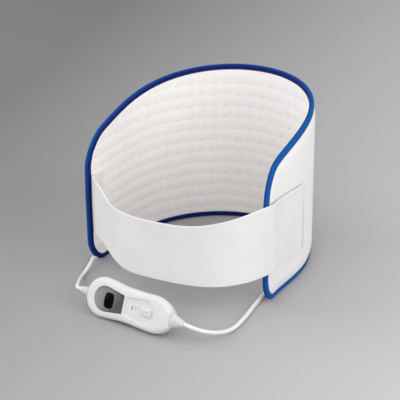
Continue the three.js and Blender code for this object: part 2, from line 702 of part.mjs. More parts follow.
// A case half: its cavity from the inside of the end wall out to the rim, then its outer skin
const caseShell = (levels) => loft(levels.map(([inset, height]) => caseRing(inset, height)));
const draft = (depth) => Math.tan(LEAN) * depth;
const rim = GAP / 2;
const upperInside = UPPER_DEPTH - TOP_WALL;
const lowerInside = -(LOWER_DEPTH - CASE_WALL);
const sideDepth = 0.74 * LOWER_DEPTH;
const foldDepth = 0.92 * LOWER_DEPTH;

const upperShell = caseShell([
  [CASE_WALL + 3.6, upperInside], [CASE_WALL + 1, upperInside - 1.6], [CASE_WALL + 0.2, rim],
  [0, rim], [0.5, UPPER_DEPTH / 2], [2.2, 0.82 * UPPER_DEPTH], [5, UPPER_DEPTH],
]);
const lowerShell = caseShell([
  [CASE_WALL + draft(foldDepth) + 3.4, lowerInside], [CASE_WALL + draft(sideDepth), -sideDepth],
  [CASE_WALL + 0.2, -rim], [0, -rim], [draft(sideDepth), -sideDepth],
  [draft(foldDepth) + 1.2, -foldDepth], [draft(LOWER_DEPTH) + 4.2, -LOWER_DEPTH],
]);

// The face's openings
function panelShape(grow) {
  const left = caseLeft + PANEL_LEFT;
  const centre = left + PANEL_RADIUS;
  const right = left + PANEL_LENGTH + grow;
  const half = PANEL_END_HALF_WIDTH + grow;
  const shape = new THREE.Shape();
  shape.moveTo(right, -half);
  shape.lineTo(right, half);
  shape.lineTo(centre + 4, PANEL_RADIUS + grow);
  shape.lineTo(centre, PANEL_RADIUS + grow);
  shape.absarc(centre, 0, PANEL_RADIUS + grow, Math.PI / 2, 1.5 * Math.PI, false);
  shape.lineTo(centre + 4, -PANEL_RADIUS - grow);
  shape.closePath();
  return shape;
}

function oblong(x, length, width, grow) {
  const radius = width / 2 + grow;
  const straight = (length - width) / 2;
  const shape = new THREE.Shape();
  shape.absarc(x, straight, radius, 0, Math.PI, false);
  shape.absarc(x, -straight, radius, Math.PI, 2 * Math.PI, false);
  shape.closePath();
  return shape;
}

const recessLeft = caseLeft + PANEL_LEFT + PANEL_LENGTH + RECESS_RIM;
const recessRight = recessLeft + RECESS_LENGTH;
function recessShape() {
  const shape = new THREE.Shape();
  shape.moveTo(recessLeft, -RECESS_HALF_WIDTH);
  shape.lineTo(recessRight - RECESS_HALF_WIDTH, -RECESS_HALF_WIDTH);
  shape.absarc(recessRight - RECESS_HALF_WIDTH, 0, RECESS_HALF_WIDTH, -Math.PI / 2, Math.PI / 2, false);
  shape.lineTo(recessLeft, RECESS_HALF_WIDTH);
  shape.closePath();
  return shape;
}

const windowX = caseLeft + WINDOW_FROM_LEFT;
const windowLedge = 1.2;
const panelFloor = UPPER_DEPTH - PANEL_WALL - GAP / 2;
const recessFloor = UPPER_DEPTH - RECESS_DEPTH;
const knobX = recessRight - KNOB_FROM_RECESS_END;
const slotRight = knobX + STEM_LENGTH / 2 + RUNNING_GAP;
const slotLeft = knobX - SWITCH_TRAVEL - STEM_LENGTH / 2 - RUNNING_GAP;
const above = UPPER_DEPTH + 2;
const posts = [-1, 1].flatMap((end) =>
  [-1, 1].map((side) => new THREE.Vector2(end * (caseRight - POST_FROM_END), side * POST_SPREAD)));
const postEnd = BOARD_TOP - BOARD_WALL - GAP;
const bossEnd = postEnd - GAP;
const screwSeat = -LOWER_DEPTH + SCREW_HEAD_HEIGHT + GAP;

// The half-round seats of the cord boots in both end walls
const bootSeat = (radius) =>
  [-1, 1].map((end) => {
    const seat = new THREE.CylinderGeometry(radius, radius, 2 * BOOT_STUB_LENGTH, 16);
    return seat.rotateZ(Math.PI / 2).translate(end * caseRight, 0, 0);
  });

const upperCase = cut(
  join(upperShell, ...posts.map(({ x, y }) => upright(POST_RADIUS, postEnd, UPPER_DEPTH - TOP_WALL / 2, x, y))),
  slab(panelShape(GAP), panelFloor, above),
  slab(oblong(windowX, WINDOW_LENGTH, WINDOW_WIDTH, -windowLedge), 0, above),
  slab(recessShape(), recessFloor, above, 10),
  box(slotRight - slotLeft, STEM_WIDTH + 2 * RUNNING_GAP, 0, above, (slotLeft + slotRight) / 2),
  ...posts.map(({ x, y }) => upright(POST_BORE + GAP, postEnd - 1, postEnd + SCREW_LENGTH / 2, x, y, 10)),
  ...bootSeat(BOOT_STUB_RADIUS + GAP),
);
addPiece("upper_case", upperCase, WHITE_PLASTIC, controller);

const lowerCase = cut(
  join(lowerShell,
    ...posts.map(({ x, y }) => upright(POST_RADIUS, -LOWER_DEPTH + CASE_WALL / 2, bossEnd, x, y))),
  ...posts.map(({ x, y }) => upright(SCREW_RADIUS + GAP, -LOWER_DEPTH - 1, bossEnd + 1, x, y, 10)),
  ...posts.map(({ x, y }) => upright(SCREW_HEAD_RADIUS + GAP, -LOWER_DEPTH - 1, screwSeat, x, y)),
  ...bootSeat(BOOT_STUB_RADIUS + GAP),
);
addPiece("lower_case", lowerCase, WHITE_PLASTIC, controller);

const panelTop = UPPER_DEPTH - GAP / 2;
const panel = cut(
  slab(panelShape(0), panelFloor + GAP, panelTop),
  slab(oblong(windowX, WINDOW_LENGTH, WINDOW_WIDTH, GAP), 0, above),
);
addPiece("display_panel", panel, GREY_PLASTIC, controller);
addPiece("display_window", slab(oblong(windowX, WINDOW_LENGTH, WINDOW_WIDTH, 0), panelFloor + GAP, panelTop),
  BLACK_GLOSS, controller);

// Slide switch: a low knob with ribs across it, on a stem through the slot
const knobLow = recessFloor + GAP;
const knobTop = knobLow + KNOB_HEIGHT;
const switchTop = upperInside - GAP;
const stemEnd = switchTop - 2;
function knobShape() {
  const half = KNOB_WIDTH / 2;
  const straight = KNOB_LENGTH / 2 - half / 2;
  const shape = new THREE.Shape();
  shape.moveTo(knobX - straight, -half);
  shape.lineTo(knobX + straight, -half);
  shape.quadraticCurveTo(knobX + straight + half / 2, -half, knobX + straight + half / 2, 0);
  shape.quadraticCurveTo(knobX + straight + half / 2, half, knobX + straight, half);
  shape.lineTo(knobX - straight, half);
  shape.quadraticCurveTo(knobX - straight - half / 2, half, knobX - straight - half / 2, 0);
  shape.quadraticCurveTo(knobX - straight - half / 2, -half, knobX - straight, -half);
  return shape;
}
const ribPitch = KNOB_LENGTH / (KNOB_RIBS + 2);
const knobRibs = Array.from({ length: KNOB_RIBS }, (_, i) => {
  const x = knobX + (i - (KNOB_RIBS - 1) / 2) * ribPitch;
  return box(ribPitch / 3, 0.72 * KNOB_WIDTH, knobTop - 0.4, knobTop + 0.7, x);
});
const knobStem = box(STEM_LENGTH, STEM_WIDTH, stemEnd, knobLow + 0.5, knobX);
addPiece("slide_knob",
  join(slab(knobShape(), knobLow, knobTop, 5), knobStem, ...knobRibs),
  WHITE_PLASTIC, controller);

// Circuit board and what it carries
const boardRing = (height) => caseRing(BOARD_INSET, height);
const board = cut(
  loft([boardRing(BOARD_TOP - BOARD_WALL), boardRing(BOARD_TOP)]),
  ...posts.map(({ x, y }) =>
    upright(POST_RADIUS + GAP, BOARD_TOP - 2 * BOARD_WALL, BOARD_TOP + BOARD_WALL, x, y)),
  ...[-1, 1].map((end) =>
    box(2 * BOOT_STUB_LENGTH + 2, 2 * BOOT_STUB_RADIUS + 2, -UPPER_DEPTH, UPPER_DEPTH, end * caseRight)),
);
addPiece("circuit_board", board, BOARD_GREEN, controller);
const onBoard = BOARD_TOP + GAP;
const underBoard = BOARD_TOP - BOARD_WALL - GAP;
const switchX = (slotLeft + slotRight) / 2;
const switchBody = cut(
  box(SWITCH_LENGTH, SWITCH_WIDTH, onBoard, switchTop, switchX),
  box(slotRight - slotLeft, STEM_WIDTH + 2 * RUNNING_GAP, stemEnd - GAP, above, switchX),
);
addPiece("switch_body", switchBody, DARK_PLASTIC, controller);
const displayGlass = box(WINDOW_WIDTH - 2 * DISPLAY_MARGIN, WINDOW_LENGTH - 4 * DISPLAY_MARGIN,
  onBoard, onBoard + DISPLAY_HEIGHT, windowX);
addPiece("digit_display", displayGlass, DARK_PLASTIC, controller);
const triac = join(
  box(TRIAC_SIZE, TRIAC_SIZE, underBoard - TRIAC_THICKNESS, underBoard, PARTS_PLACE, PARTS_ROW),
  box(TRIAC_SIZE + TRIAC_FLAG_LENGTH, TRIAC_SIZE, underBoard - TRIAC_FLAG_WALL, underBoard,
    PARTS_PLACE - TRIAC_FLAG_LENGTH / 2, PARTS_ROW),
);
addPiece("triac", triac, DARK_PLASTIC, controller);
const fuse = new THREE.CylinderGeometry(FUSE_RADIUS, FUSE_RADIUS, FUSE_LENGTH, 10).rotateZ(Math.PI / 2);
addPiece("fuse", fuse.translate(PARTS_PLACE, -PARTS_ROW, underBoard - FUSE_RADIUS), STEEL, controller);
addPiece("capacitor",
  box(CAPACITOR_LENGTH, CAPACITOR_WIDTH, underBoard - CAPACITOR_DEPTH, underBoard, CAPACITOR_PLACE, 0),
  GREY_PLASTIC, controller);
posts.forEach(({ x, y }, i) => {
  const profile = [
    [0, screwSeat - SCREW_HEAD_HEIGHT], [SCREW_HEAD_RADIUS, screwSeat - SCREW_HEAD_HEIGHT],
    [SCREW_HEAD_RADIUS, screwSeat - GAP], [POST_BORE, screwSeat - GAP],
    [POST_BORE, screwSeat + SCREW_LENGTH], [0, screwSeat + SCREW_LENGTH],
  ];
  const screw = new THREE.LatheGeometry(profile.map(([r, z]) => new THREE.Vector2(r, z)), 10);
  addPiece("case_screw_" + (i + 1), screw.rotateX(Math.PI / 2).translate(x, y, 0), STEEL, controller);
});

// Cord boots: an inner stub, then soft ribs that shrink towards the cord
function bootRings(end, length, ribs, cordRadius, baseHalfWidth) {
  const ring = (x, half, high) =>
    between(0, 2 * Math.PI, 14).slice(1).map((angle) =>
      new THREE.Vector3(end * x, half * Math.cos(angle), high * Math.sin(angle)));
  const stub = BOOT_STUB_RADIUS;
  const start = caseRight + GAP;
  const rings = [ring(caseRight - BOOT_STUB_LENGTH, stub, stub), ring(start, stub, stub)];
  const tip = cordRadius + 1;
  for (let i = 0; i < ribs; i++) {
    const size = (share) => [
      THREE.MathUtils.lerp(baseHalfWidth, tip, share), THREE.MathUtils.lerp(BOOT_HALF_HEIGHT, tip, share),
    ];
    const [half, high] = size(i / ribs);
    const [halfEnd, highEnd] = size((i + 0.5) / ribs);
    const x = start + (i / ribs) * length;
    const rib = (0.6 / ribs) * length;
    rings.push(ring(x, half, high), ring(x + rib, halfEnd, highEnd));
    const groove = i + 1 < ribs ? 1 : 0.4;
    rings.push(ring(x + rib, halfEnd - groove, highEnd - groove));
    rings.push(ring(x + length / ribs, Math.max(halfEnd - 1.4, tip - 0.5), Math.max(highEnd - 1.4, tip - 0.5)));
  }
  return loft(rings);
}

addPiece("pad_side_boot",
  bootRings(-1, PAD_BOOT_LENGTH, PAD_BOOT_RIBS, PAD_LEAD_DIAMETER / 2, BOOT_HALF_HEIGHT),
  WHITE_PLASTIC, controller);
addPiece("mains_side_boot",
  bootRings(1, MAINS_BOOT_LENGTH, MAINS_BOOT_RIBS, MAINS_LEAD_DIAMETER / 2, END_HALF_WIDTH - GAP),
  WHITE_PLASTIC, controller);
[-1, 1].forEach((end) => {
  const low = -BOOT_STUB_RADIUS - GAP - CLAMP_WALL;
  const x = end * (caseRight - BOOT_STUB_LENGTH + CLAMP_LENGTH);
  addPiece(end < 0 ? "cord_clamp_pad_side" : "cord_clamp_mains_side",
    box(CLAMP_LENGTH, CLAMP_WIDTH, low, low + CLAMP_WALL, x), GREY_PLASTIC, controller);
});

// The controller stands on its drafted side wall, its face turned to the front
controller.rotation.set(Math.PI / 2 - LEAN, 0, THREE.MathUtils.degToRad(CONTROLLER_TURN_DEGREES), "ZXY");
controller.position.set(CONTROLLER_PLACE.x, CONTROLLER_PLACE.y, HEAD_RADIUS * Math.cos(LEAN));
controller.updateMatrixWorld();

// Leads. The first and last points follow from what the cord meets, the others are chosen by hand.
const outOfBoot = (end, length, distance) =>
  new THREE.Vector3(end * (caseRight + GAP + length + distance), 0, 0).applyMatrix4(controller.matrix);
const padLeadPoints = [
  outOfGland(GAP),
  outOfGland(5),
  new THREE.Vector3(-129.2, -281.6, 7.9),
  new THREE.Vector3(-125.6, -291.2, 5.6),
  new THREE.Vector3(-123, -301.5, 3.7),
  new THREE.Vector3(-121, -312.2, 2.8),
  new THREE.Vector3(-119.2, -323, 3),
  new THREE.Vector3(-117, -333.6, 4.6),
  new THREE.Vector3(-114.2, -343.8, 7.6),
  new THREE.Vector3(-110.6, -353.4, 11.4),
  new THREE.Vector3(-106.2, -362.2, 15.4),
  new THREE.Vector3(-100.9, -370.2, 19.2),
  new THREE.Vector3(-94.6, -376.6, 22.5),
  new THREE.Vector3(-88, -380.8, 24.8),
  outOfBoot(-1, PAD_BOOT_LENGTH, 5),
  outOfBoot(-1, PAD_BOOT_LENGTH, GAP),
];
addPiece("pad_lead", cord(padLeadPoints, PAD_LEAD_DIAMETER, 24), CORD_SHEATH);

// The mains lead's put-away rest: a flat coil of two layers, wound in, up and out again
const mainsRadius = MAINS_LEAD_DIAMETER / 2;
const coilPitch = MAINS_LEAD_DIAMETER + COIL_SPACE;
const coilLow = TIE_WALL + GAP + mainsRadius;
const coilMiddle = Math.PI * COIL_TURNS;
function coilPoint(angle) {
  const radius = COIL_LEAST_RADIUS + (coilPitch * Math.abs(angle - coilMiddle)) / (2 * Math.PI);
  const climb = THREE.MathUtils.smoothstep(angle, coilMiddle - Math.PI / 2, coilMiddle + Math.PI / 2);
  return new THREE.Vector3(
    COIL_CENTRE.x + radius * Math.cos(angle), COIL_CENTRE.y + radius * Math.sin(angle),
    coilLow + coilPitch * climb);
}

const COIL_STEPS = 24;
const coilAngles = between(0, 2 * coilMiddle, COIL_TURNS * COIL_STEPS);
const coilStart = coilPoint(0);
const coilEnd = coilPoint(2 * coilMiddle);
const startAim = new THREE.Vector3(0, 1, 0);
const endAim = new THREE.Vector3(-Math.sin(2 * coilMiddle), Math.cos(2 * coilMiddle), 0);
const coilLine = [
  coilStart.clone().addScaledVector(startAim, -MAINS_LEAD_DIAMETER),
  ...coilAngles.map(coilPoint),
  coilEnd.clone().addScaledVector(endAim, MAINS_LEAD_DIAMETER),
];

function coilTube() {
  const up = new THREE.Vector3(0, 0, 1);
  const rings = coilLine.map((point, i) => {
    const before = coilLine[Math.max(i - 1, 0)];
    const after = coilLine[Math.min(i + 1, coilLine.length - 1)];
    const along = after.clone().sub(before).normalize();
    const side = along.clone().cross(up).normalize();
    const lift = side.clone().cross(along);
    return between(0, 2 * Math.PI, 6).slice(1).map((angle) =>
      point.clone().addScaledVector(side, mainsRadius * Math.cos(angle))
        .addScaledVector(lift, mainsRadius * Math.sin(angle)));
  });
  return loft(rings);
}
addPiece("mains_coil", coilTube(), CORD_SHEATH);

let leastGap = Infinity;
for (let i = 0; i < coilLine.length; i++) {
  for (let j = i + COIL_STEPS / 2; j < coilLine.length; j++) {
    leastGap = Math.min(leastGap, coilLine[i].distanceTo(coilLine[j]) - MAINS_LEAD_DIAMETER);
  }
}
console.log("least gap of the coil to itself", leastGap.toFixed(2), "mm");

const mainsLeadPoints = [
  outOfBoot(1, MAINS_BOOT_LENGTH, GAP),
  outOfBoot(1, MAINS_BOOT_LENGTH, 6),
  new THREE.Vector3(111.3, -410.3, 25.1),
  new THREE.Vector3(118.8, -408.3, 23.1),
  new THREE.Vector3(125.6, -402.8, 19.9),
  new THREE.Vector3(131, -393.9, 15.9),
  new THREE.Vector3(134.8, -382.4, 11.5),
  new THREE.Vector3(137.2, -369.4, 7.6),
  new THREE.Vector3(138.4, -354.7, 4.4),
  new THREE.Vector3(138.6, -338.5, 3),
  new THREE.Vector3(137.4, -319, 3),
  new THREE.Vector3(134.8, -298, 3),
  new THREE.Vector3(131.4, -275, 3),
  new THREE.Vector3(128.6, -251, 3),
  new THREE.Vector3(126.8, -226, 3),
  new THREE.Vector3(125.6, -200, 3),
  new THREE.Vector3(123, -172, 3),
  new THREE.Vector3(117, -143, 3),
  new THREE.Vector3(107.5, -116, 3),
  new THREE.Vector3(95.5, -90, 3),
  new THREE.Vector3(82, -64, 3),
  new THREE.Vector3(69, -38.5, 3),
  new THREE.Vector3(57, -13, 3),
  new THREE.Vector3(46.5, 9, 3),
  new THREE.Vector3(38, 25, 3.2),
  coilStart.clone().addScaledVector(startAim, -20),
  coilStart.clone().addScaledVector(startAim, -MAINS_LEAD_DIAMETER - GAP),
];
addPiece("mains_lead", cord(mainsLeadPoints, MAINS_LEAD_DIAMETER, 52), CORD_SHEATH);

// Tie round the coil's turns
function coilTie() {
  const angle = THREE.MathUtils.degToRad(TIE_ANGLE);
  const reach = coilAngles
    .filter((a) => Math.abs(Math.sin((a - angle) / 2)) < Math.sin(Math.PI / COIL_STEPS))
    .map((a) => coilPoint(a).setZ(0).distanceTo(new THREE.Vector3(COIL_CENTRE.x, COIL_CENTRE.y, 0)));
  const room = mainsRadius + RUNNING_GAP;
  const [low, high] = [Math.min(...reach) - room - RUNNING_GAP, Math.max(...reach) + room];
  const top = coilLow + coilPitch + room;
  const loop = (grow) => {
    const [x0, x1, y0, y1] = [low - grow, high + grow, TIE_WALL - grow, top + grow];
    const round = grow + 1.5;
    const shape = new THREE.Shape();
    shape.absarc(x1 - round, y0 + round, round, -Math.PI / 2, 0);
    shape.absarc(x1 - round, y1 - round, round, 0, Math.PI / 2);
    shape.absarc(x0 + round, y1 - round, round, Math.PI / 2, Math.PI);
    shape.absarc(x0 + round, y0 + round, round, Math.PI, 1.5 * Math.PI);
    shape.closePath();
    return shape;
  };
  const shape = loop(TIE_WALL);
  shape.holes.push(loop(0));
  const geometry = slab(shape, -TIE_WIDTH / 2, TIE_WIDTH / 2, 3);
  return geometry.rotateX(Math.PI / 2).rotateZ(angle).translate(COIL_CENTRE.x, COIL_CENTRE.y, 0);
}
addPiece("coil_tie", coilTie(), DARK_PLASTIC);

// Mains plug: a flat body that narrows to a ribbed tail, with two round pins
const plug = new THREE.Group();
belt.add(plug);
plug.position.set(PLUG_PLACE.x, PLUG_PLACE.y, PLUG_THICKNESS / 2);
plug.rotation.z = THREE.MathUtils.degToRad(PLUG_TURN_DEGREES);
plug.updateMatrixWorld();

function plugBody() {
  const ring = (x, half, high, corner) => {
    const shape = new THREE.Shape();
    shape.absarc(half - corner, high - corner, corner, 0, Math.PI / 2);
    shape.absarc(corner - half, high - corner, corner, Math.PI / 2, Math.PI);
    shape.absarc(corner - half, corner - high, corner, Math.PI, 1.5 * Math.PI);
    shape.absarc(half - corner, corner - high, corner, 1.5 * Math.PI, 2 * Math.PI);
    return shape.getPoints(3).slice(0, 16).map((p) => new THREE.Vector3(x, p.x, p.y));
  };
  const half = PLUG_WIDTH / 2;
  const high = PLUG_THICKNESS / 2;
  const tail = mainsRadius + 1.2;
  const long = PLUG_BODY_LENGTH;
  const rings = [
    ring(long, half - 3, high - 1, 4), ring(long - 2, half - 1.5, high, 4), ring(0.62 * long, half, high, 5),
    ring(0.4 * long, 0.86 * half, high, 5), ring(0.15 * long, 0.55 * half, high - 0.6, 5),
    ring(0, 0.42 * half, high - 1.4, 4),
  ];
  const ribs = 4;
  for (let i = 0; i < ribs; i++) {
    const x = -(i / ribs) * PLUG_TAIL_LENGTH;
    const size = THREE.MathUtils.lerp(high - 1.6, tail, i / (ribs - 1));
    const rib = (0.55 / ribs) * PLUG_TAIL_LENGTH;
    rings.push(ring(x - 0.4, size - 0.7, size - 0.7, size - 0.8), ring(x - 1.2, size, size, size - 0.1));
    rings.push(ring(x - rib, size, size, size - 0.1), ring(x - rib - 0.8, size - 0.7, size - 0.7, size - 0.8));
  }
  rings.push(ring(-PLUG_TAIL_LENGTH, tail - 0.7, tail - 0.7, tail - 0.8));
  return loft(rings);
}
addPiece("plug_body", plugBody(), WHITE_PLASTIC, plug);
[-1, 1].forEach((side, i) => {
  const radius = PIN_DIAMETER / 2;
  const profile = [
    [0, 0], [radius, 0], [radius, PIN_LENGTH - 1.2], [radius - 0.9, PIN_LENGTH], [0, PIN_LENGTH],
  ];
  const pin = new THREE.LatheGeometry(profile.map(([r, x]) => new THREE.Vector2(r, x)), 12);
  pin.rotateZ(-Math.PI / 2).translate(PLUG_BODY_LENGTH + GAP, (side * PIN_SPACING) / 2, 0);
  addPiece("plug_pin_" + (i + 1), pin, STEEL, plug);
});

// The lead's last stretch, from the coil to the plug's tail
const intoPlug = (distance) => new THREE.Vector3(-PLUG_TAIL_LENGTH - distance, 0, 0).applyMatrix4(plug.matrix);
const mainsTailPoints = [
  coilEnd.clone().addScaledVector(endAim, MAINS_LEAD_DIAMETER + GAP),
  coilEnd.clone().addScaledVector(endAim, MAINS_LEAD_DIAMETER + 6),
  intoPlug(6),
  intoPlug(GAP),
];
addPiece("mains_tail", cord(mainsTailPoints, MAINS_LEAD_DIAMETER, 6), CORD_SHEATH);

export default belt;
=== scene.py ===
# %% [markdown]
# A heating belt for the lower back: a quilted white pad that stands curved on its lower edge, blue
# tape round its rim, a wide elastic strap across the front, and a hand controller on its lead.
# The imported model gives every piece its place. This lesson dresses it: first the view, the light
# and the cords, then the cloth, then the controller.

# %% The frame
import math

import bpy
import numpy as np
from mathutils import Matrix, Vector


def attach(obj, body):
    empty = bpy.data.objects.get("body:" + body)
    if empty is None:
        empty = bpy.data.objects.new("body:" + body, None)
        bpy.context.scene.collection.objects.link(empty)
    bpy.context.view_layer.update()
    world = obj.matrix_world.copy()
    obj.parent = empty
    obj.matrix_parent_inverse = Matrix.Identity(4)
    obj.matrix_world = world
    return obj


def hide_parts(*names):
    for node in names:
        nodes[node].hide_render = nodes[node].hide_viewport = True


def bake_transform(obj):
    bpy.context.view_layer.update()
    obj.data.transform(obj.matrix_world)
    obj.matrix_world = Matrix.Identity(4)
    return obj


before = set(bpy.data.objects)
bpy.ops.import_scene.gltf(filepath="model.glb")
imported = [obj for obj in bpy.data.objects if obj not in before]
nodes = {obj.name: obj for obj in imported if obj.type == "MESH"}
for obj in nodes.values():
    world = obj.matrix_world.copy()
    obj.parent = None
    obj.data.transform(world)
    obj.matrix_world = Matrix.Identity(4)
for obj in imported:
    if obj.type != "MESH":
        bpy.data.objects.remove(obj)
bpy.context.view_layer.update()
MM = 0.001
GAP = 0.3 * MM
print("nodes in the frame:", len(nodes))

# %% [markdown]
# The camera stands a little above the belt and to its right, far off with a long lens, as for a
# catalogue picture. Its place was worked out from the belt's edges: where the lower edge meets the
# floor, how high the back stands, and how the two wing ends line up.

# %% Camera
VIEW_ELEVATION = math.radians(22.79)
VIEW_AZIMUTH = math.radians(29.094)
VIEW_TARGET = Vector((0.07086, -0.31726, 0.16222))
VIEW_DISTANCE = 2.132
VIEW_ANGLE = math.radians(14.10)

towards_camera = Vector((
    math.sin(VIEW_AZIMUTH) * math.cos(VIEW_ELEVATION),
    -math.cos(VIEW_AZIMUTH) * math.cos(VIEW_ELEVATION),
    math.sin(VIEW_ELEVATION),
))
bpy.ops.object.camera_add(location=VIEW_TARGET + towards_camera * VIEW_DISTANCE)
camera = bpy.context.object
camera.rotation_euler = towards_camera.to_track_quat("Z", "Y").to_euler()
camera.data.sensor_width = 36
camera.data.angle = VIEW_ANGLE
bpy.context.scene.camera = camera
bpy.context.scene.view_settings.view_transform = "Standard"
print("lens", round(camera.data.lens, 1), "mm")

# %% [markdown]
# Shader maths reads best as plain sums, so one small class wraps a socket. An expression such as
# `1 - mask * 0.2` then adds the Math nodes by itself, and one method makes any other node.


# %% Shader helper
class Finish:
    """A material's node tree, and the sockets in it as values to calculate with."""

    def __init__(self, name, color, roughness, **inputs):
        self.material = bpy.data.materials.new(name)
        self.material.use_nodes = True
        self.tree = self.material.node_tree
        self.shader = self.tree.nodes["Principled BSDF"]
        self.set(Base_Color=color, Roughness=roughness, **inputs)

    def set(self, **inputs):
        for key, value in inputs.items():
            self.feed(self.shader.inputs[key.replace("_", " ")], value)

    def feed(self, socket, value):
        if isinstance(value, Value):
            self.tree.links.new(value.socket, socket)
        else:
            socket.default_value = value

    def node(self, kind, out=0, settings=None, **inputs):
        made = self.tree.nodes.new("ShaderNode" + kind)
        for key, value in (settings or {}).items():
            setattr(made, key, value)
        for key, value in inputs.items():
            place = int(key[1:]) if key[0] == "i" and key[1:].isdigit() else key.replace("_", " ")
            self.feed(made.inputs[place], value)
        return Value(self, made.outputs[out])

    def math(self, operation, *values):
        return self.node("Math", settings={"operation": operation},
                         **{"i%d" % i: value for i, value in enumerate(values)})

    def coords(self, scale=(1, 1, 1)):
        place = self.node("TexCoord", out="Object")
        return self.node("Mapping", Vector=place, Scale=scale)

    def noise(self, scale, detail=3, stretch=(1, 1, 1)):
        return self.node("TexNoise", Vector=self.coords(stretch), Scale=scale, Detail=detail)

    def mix(self, share, first, second):
        return self.node("Mix", out=2, settings={"data_type": "RGBA"}, i0=share, i6=first, i7=second)

    def attribute(self, name):
        return self.node("Attribute", out="Fac", settings={"attribute_name": name})

    def uv(self, axis):
        place = self.node("UVMap")
        return self.node("SeparateXYZ", out=axis, Vector=place)

    def bump(self, height, distance, strength):
        return self.node("Bump", Height=height, Distance=distance, Strength=strength)


class Value:
    """A socket's value. Sums of values become Math nodes."""

    def __init__(self, finish, socket):
        self.finish = finish
        self.socket = socket

    def __add__(self, other):
        return self.finish.math("ADD", self, other)

    def __sub__(self, other):
        return self.finish.math("SUBTRACT", self, other)

    def __rsub__(self, other):
        return self.finish.math("SUBTRACT", other, self)

    def __mul__(self, other):
        return self.finish.math("MULTIPLY", self, other)

    def sine(self):
        return self.finish.math("SINE", self)

    def limit(self, low, high, kind="SMOOTHSTEP"):
        """0 up to low, 1 from high on, and a smooth rise between them."""
        return self.finish.node("MapRange", settings={"interpolation_type": kind},
                                Value=self, From_Min=low, From_Max=high)

    __radd__ = __add__
    __rmul__ = __mul__


print("shader helper ready")


# %% Colours and finishes
def srgb(red, green, blue):
    """A colour as the screen shows it, 0 to 255, as the linear values that the shader takes."""
    def linear(part):
        part /= 255
        return part / 12.92 if part <= 0.04045 else ((part + 0.055) / 1.055) ** 2.4
    return linear(red), linear(green), linear(blue), 1


def two_tone(name, first, second, roughness, grain, rough=0, relief=None, **inputs):
    """A finish of two shades. One noise mixes them, roughens it and gives it relief."""
    finish = Finish(name, first, roughness, **inputs)
    noise = finish.noise(*grain)
    finish.set(Base_Color=finish.mix(noise, first, second))
    if rough:
        finish.set(Roughness=roughness + noise * rough)
    if relief:
        finish.set(Normal=finish.bump(noise, *relief))
    return finish


def wear(piece, finish, body="belt"):
    """Gives a piece its finish, and lets it move with a body."""
    piece.data.materials.clear()
    piece.data.materials.append(finish.material)
    if body:
        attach(piece, body)
    return piece


print("a middle grey on the screen is", round(srgb(128, 128, 128)[0], 3), "in the shader")

# %% [markdown]
# The backdrop is a sheet of grey paper that runs from dark at the far left to pale at the near
# right. Lamps could make that run of shade, but they would light the belt unevenly too. So the
# shade is a slope in the paper's own material, given by how many metres it takes to go half the
# way from dark to pale, to the right and to the front.

# %% Floor
FLOOR_SIZE = 40
FLOOR_LEVEL = -0.2 * MM
PAPER_DARK = 123
PAPER_PALE = 191
PAPER_RIGHTWARDS = 0.50
PAPER_FRONTWARDS = 1.75
PAPER_MIDDLE = -0.386
bpy.ops.mesh.primitive_plane_add(size=FLOOR_SIZE, location=(0, 0, FLOOR_LEVEL))
floor = bpy.context.object
floor.name = "studio_floor"
paper = Finish("studio_paper", srgb(170, 170, 170), 0.95, Specular_IOR_Level=0.1)
to_the_right = Vector((math.cos(VIEW_AZIMUTH), math.sin(VIEW_AZIMUTH), 0))
to_the_front = Vector((math.sin(VIEW_AZIMUTH), -math.cos(VIEW_AZIMUTH), 0))
slope = to_the_right / PAPER_RIGHTWARDS + to_the_front / PAPER_FRONTWARDS
shade = paper.node("VectorMath", out="Value", settings={"operation": "DOT_PRODUCT"},
                   i0=paper.coords(), i1=tuple(slope))
middle = slope.dot(VIEW_TARGET + to_the_front * PAPER_MIDDLE)
paper.set(Base_Color=paper.mix((shade - middle).limit(-1, 1, "LINEAR"),
                               srgb(PAPER_DARK, PAPER_DARK, PAPER_DARK),
                               srgb(PAPER_PALE + 1, PAPER_PALE - 2, PAPER_PALE - 1)))
floor.data.materials.append(paper.material)
print("paper from", PAPER_DARK, "to", PAPER_PALE)

# %% [markdown]
# A white object needs light from all around, or its far sides go grey. The room's own light does
# most of that here, while the eye and shiny surfaces see a plain grey room, since a white room
# would put pale reflections on the cords and the case. Three wide lamps lift the strap, the wings
# and the inside of the back, so white stays white and nothing burns out.

# %% Light
ROOM_LIGHT = 0.8
LAMP_TARGET = Vector((0, -0.2, 0.1))
world = bpy.data.worlds.new("studio")
bpy.context.scene.world = world
world.use_nodes = True
room_nodes, join = world.node_tree.nodes, world.node_tree.links.new
ray = room_nodes.new("ShaderNodeLightPath")
seen = room_nodes.new("ShaderNodeMix")
seen.data_type = "RGBA"
seen.inputs[6].default_value = (ROOM_LIGHT, ROOM_LIGHT, ROOM_LIGHT * 1.02, 1)
seen.inputs[7].default_value = srgb(176, 176, 177)
backdrop_share = ray.outputs["Is Camera Ray"]
for kind in ("Is Glossy Ray", "Is Transmission Ray"):
    either = room_nodes.new("ShaderNodeMath")
    either.operation = "MAXIMUM"
    join(backdrop_share, either.inputs[0])
    join(ray.outputs[kind], either.inputs[1])
    backdrop_share = either.outputs[0]
join(backdrop_share, seen.inputs[0])
join(seen.outputs[2], room_nodes["Background"].inputs["Color"])


def soft_lamp(name, place, power, size):
    """A square lamp that looks at the middle of the belt."""
    bpy.ops.object.light_add(type="AREA", location=place)
    lamp = bpy.context.object
    lamp.name = name
    lamp.data.energy = power
    lamp.data.size = size
    lamp.rotation_euler = (Vector(place) - LAMP_TARGET).to_track_quat("Z", "Y").to_euler()


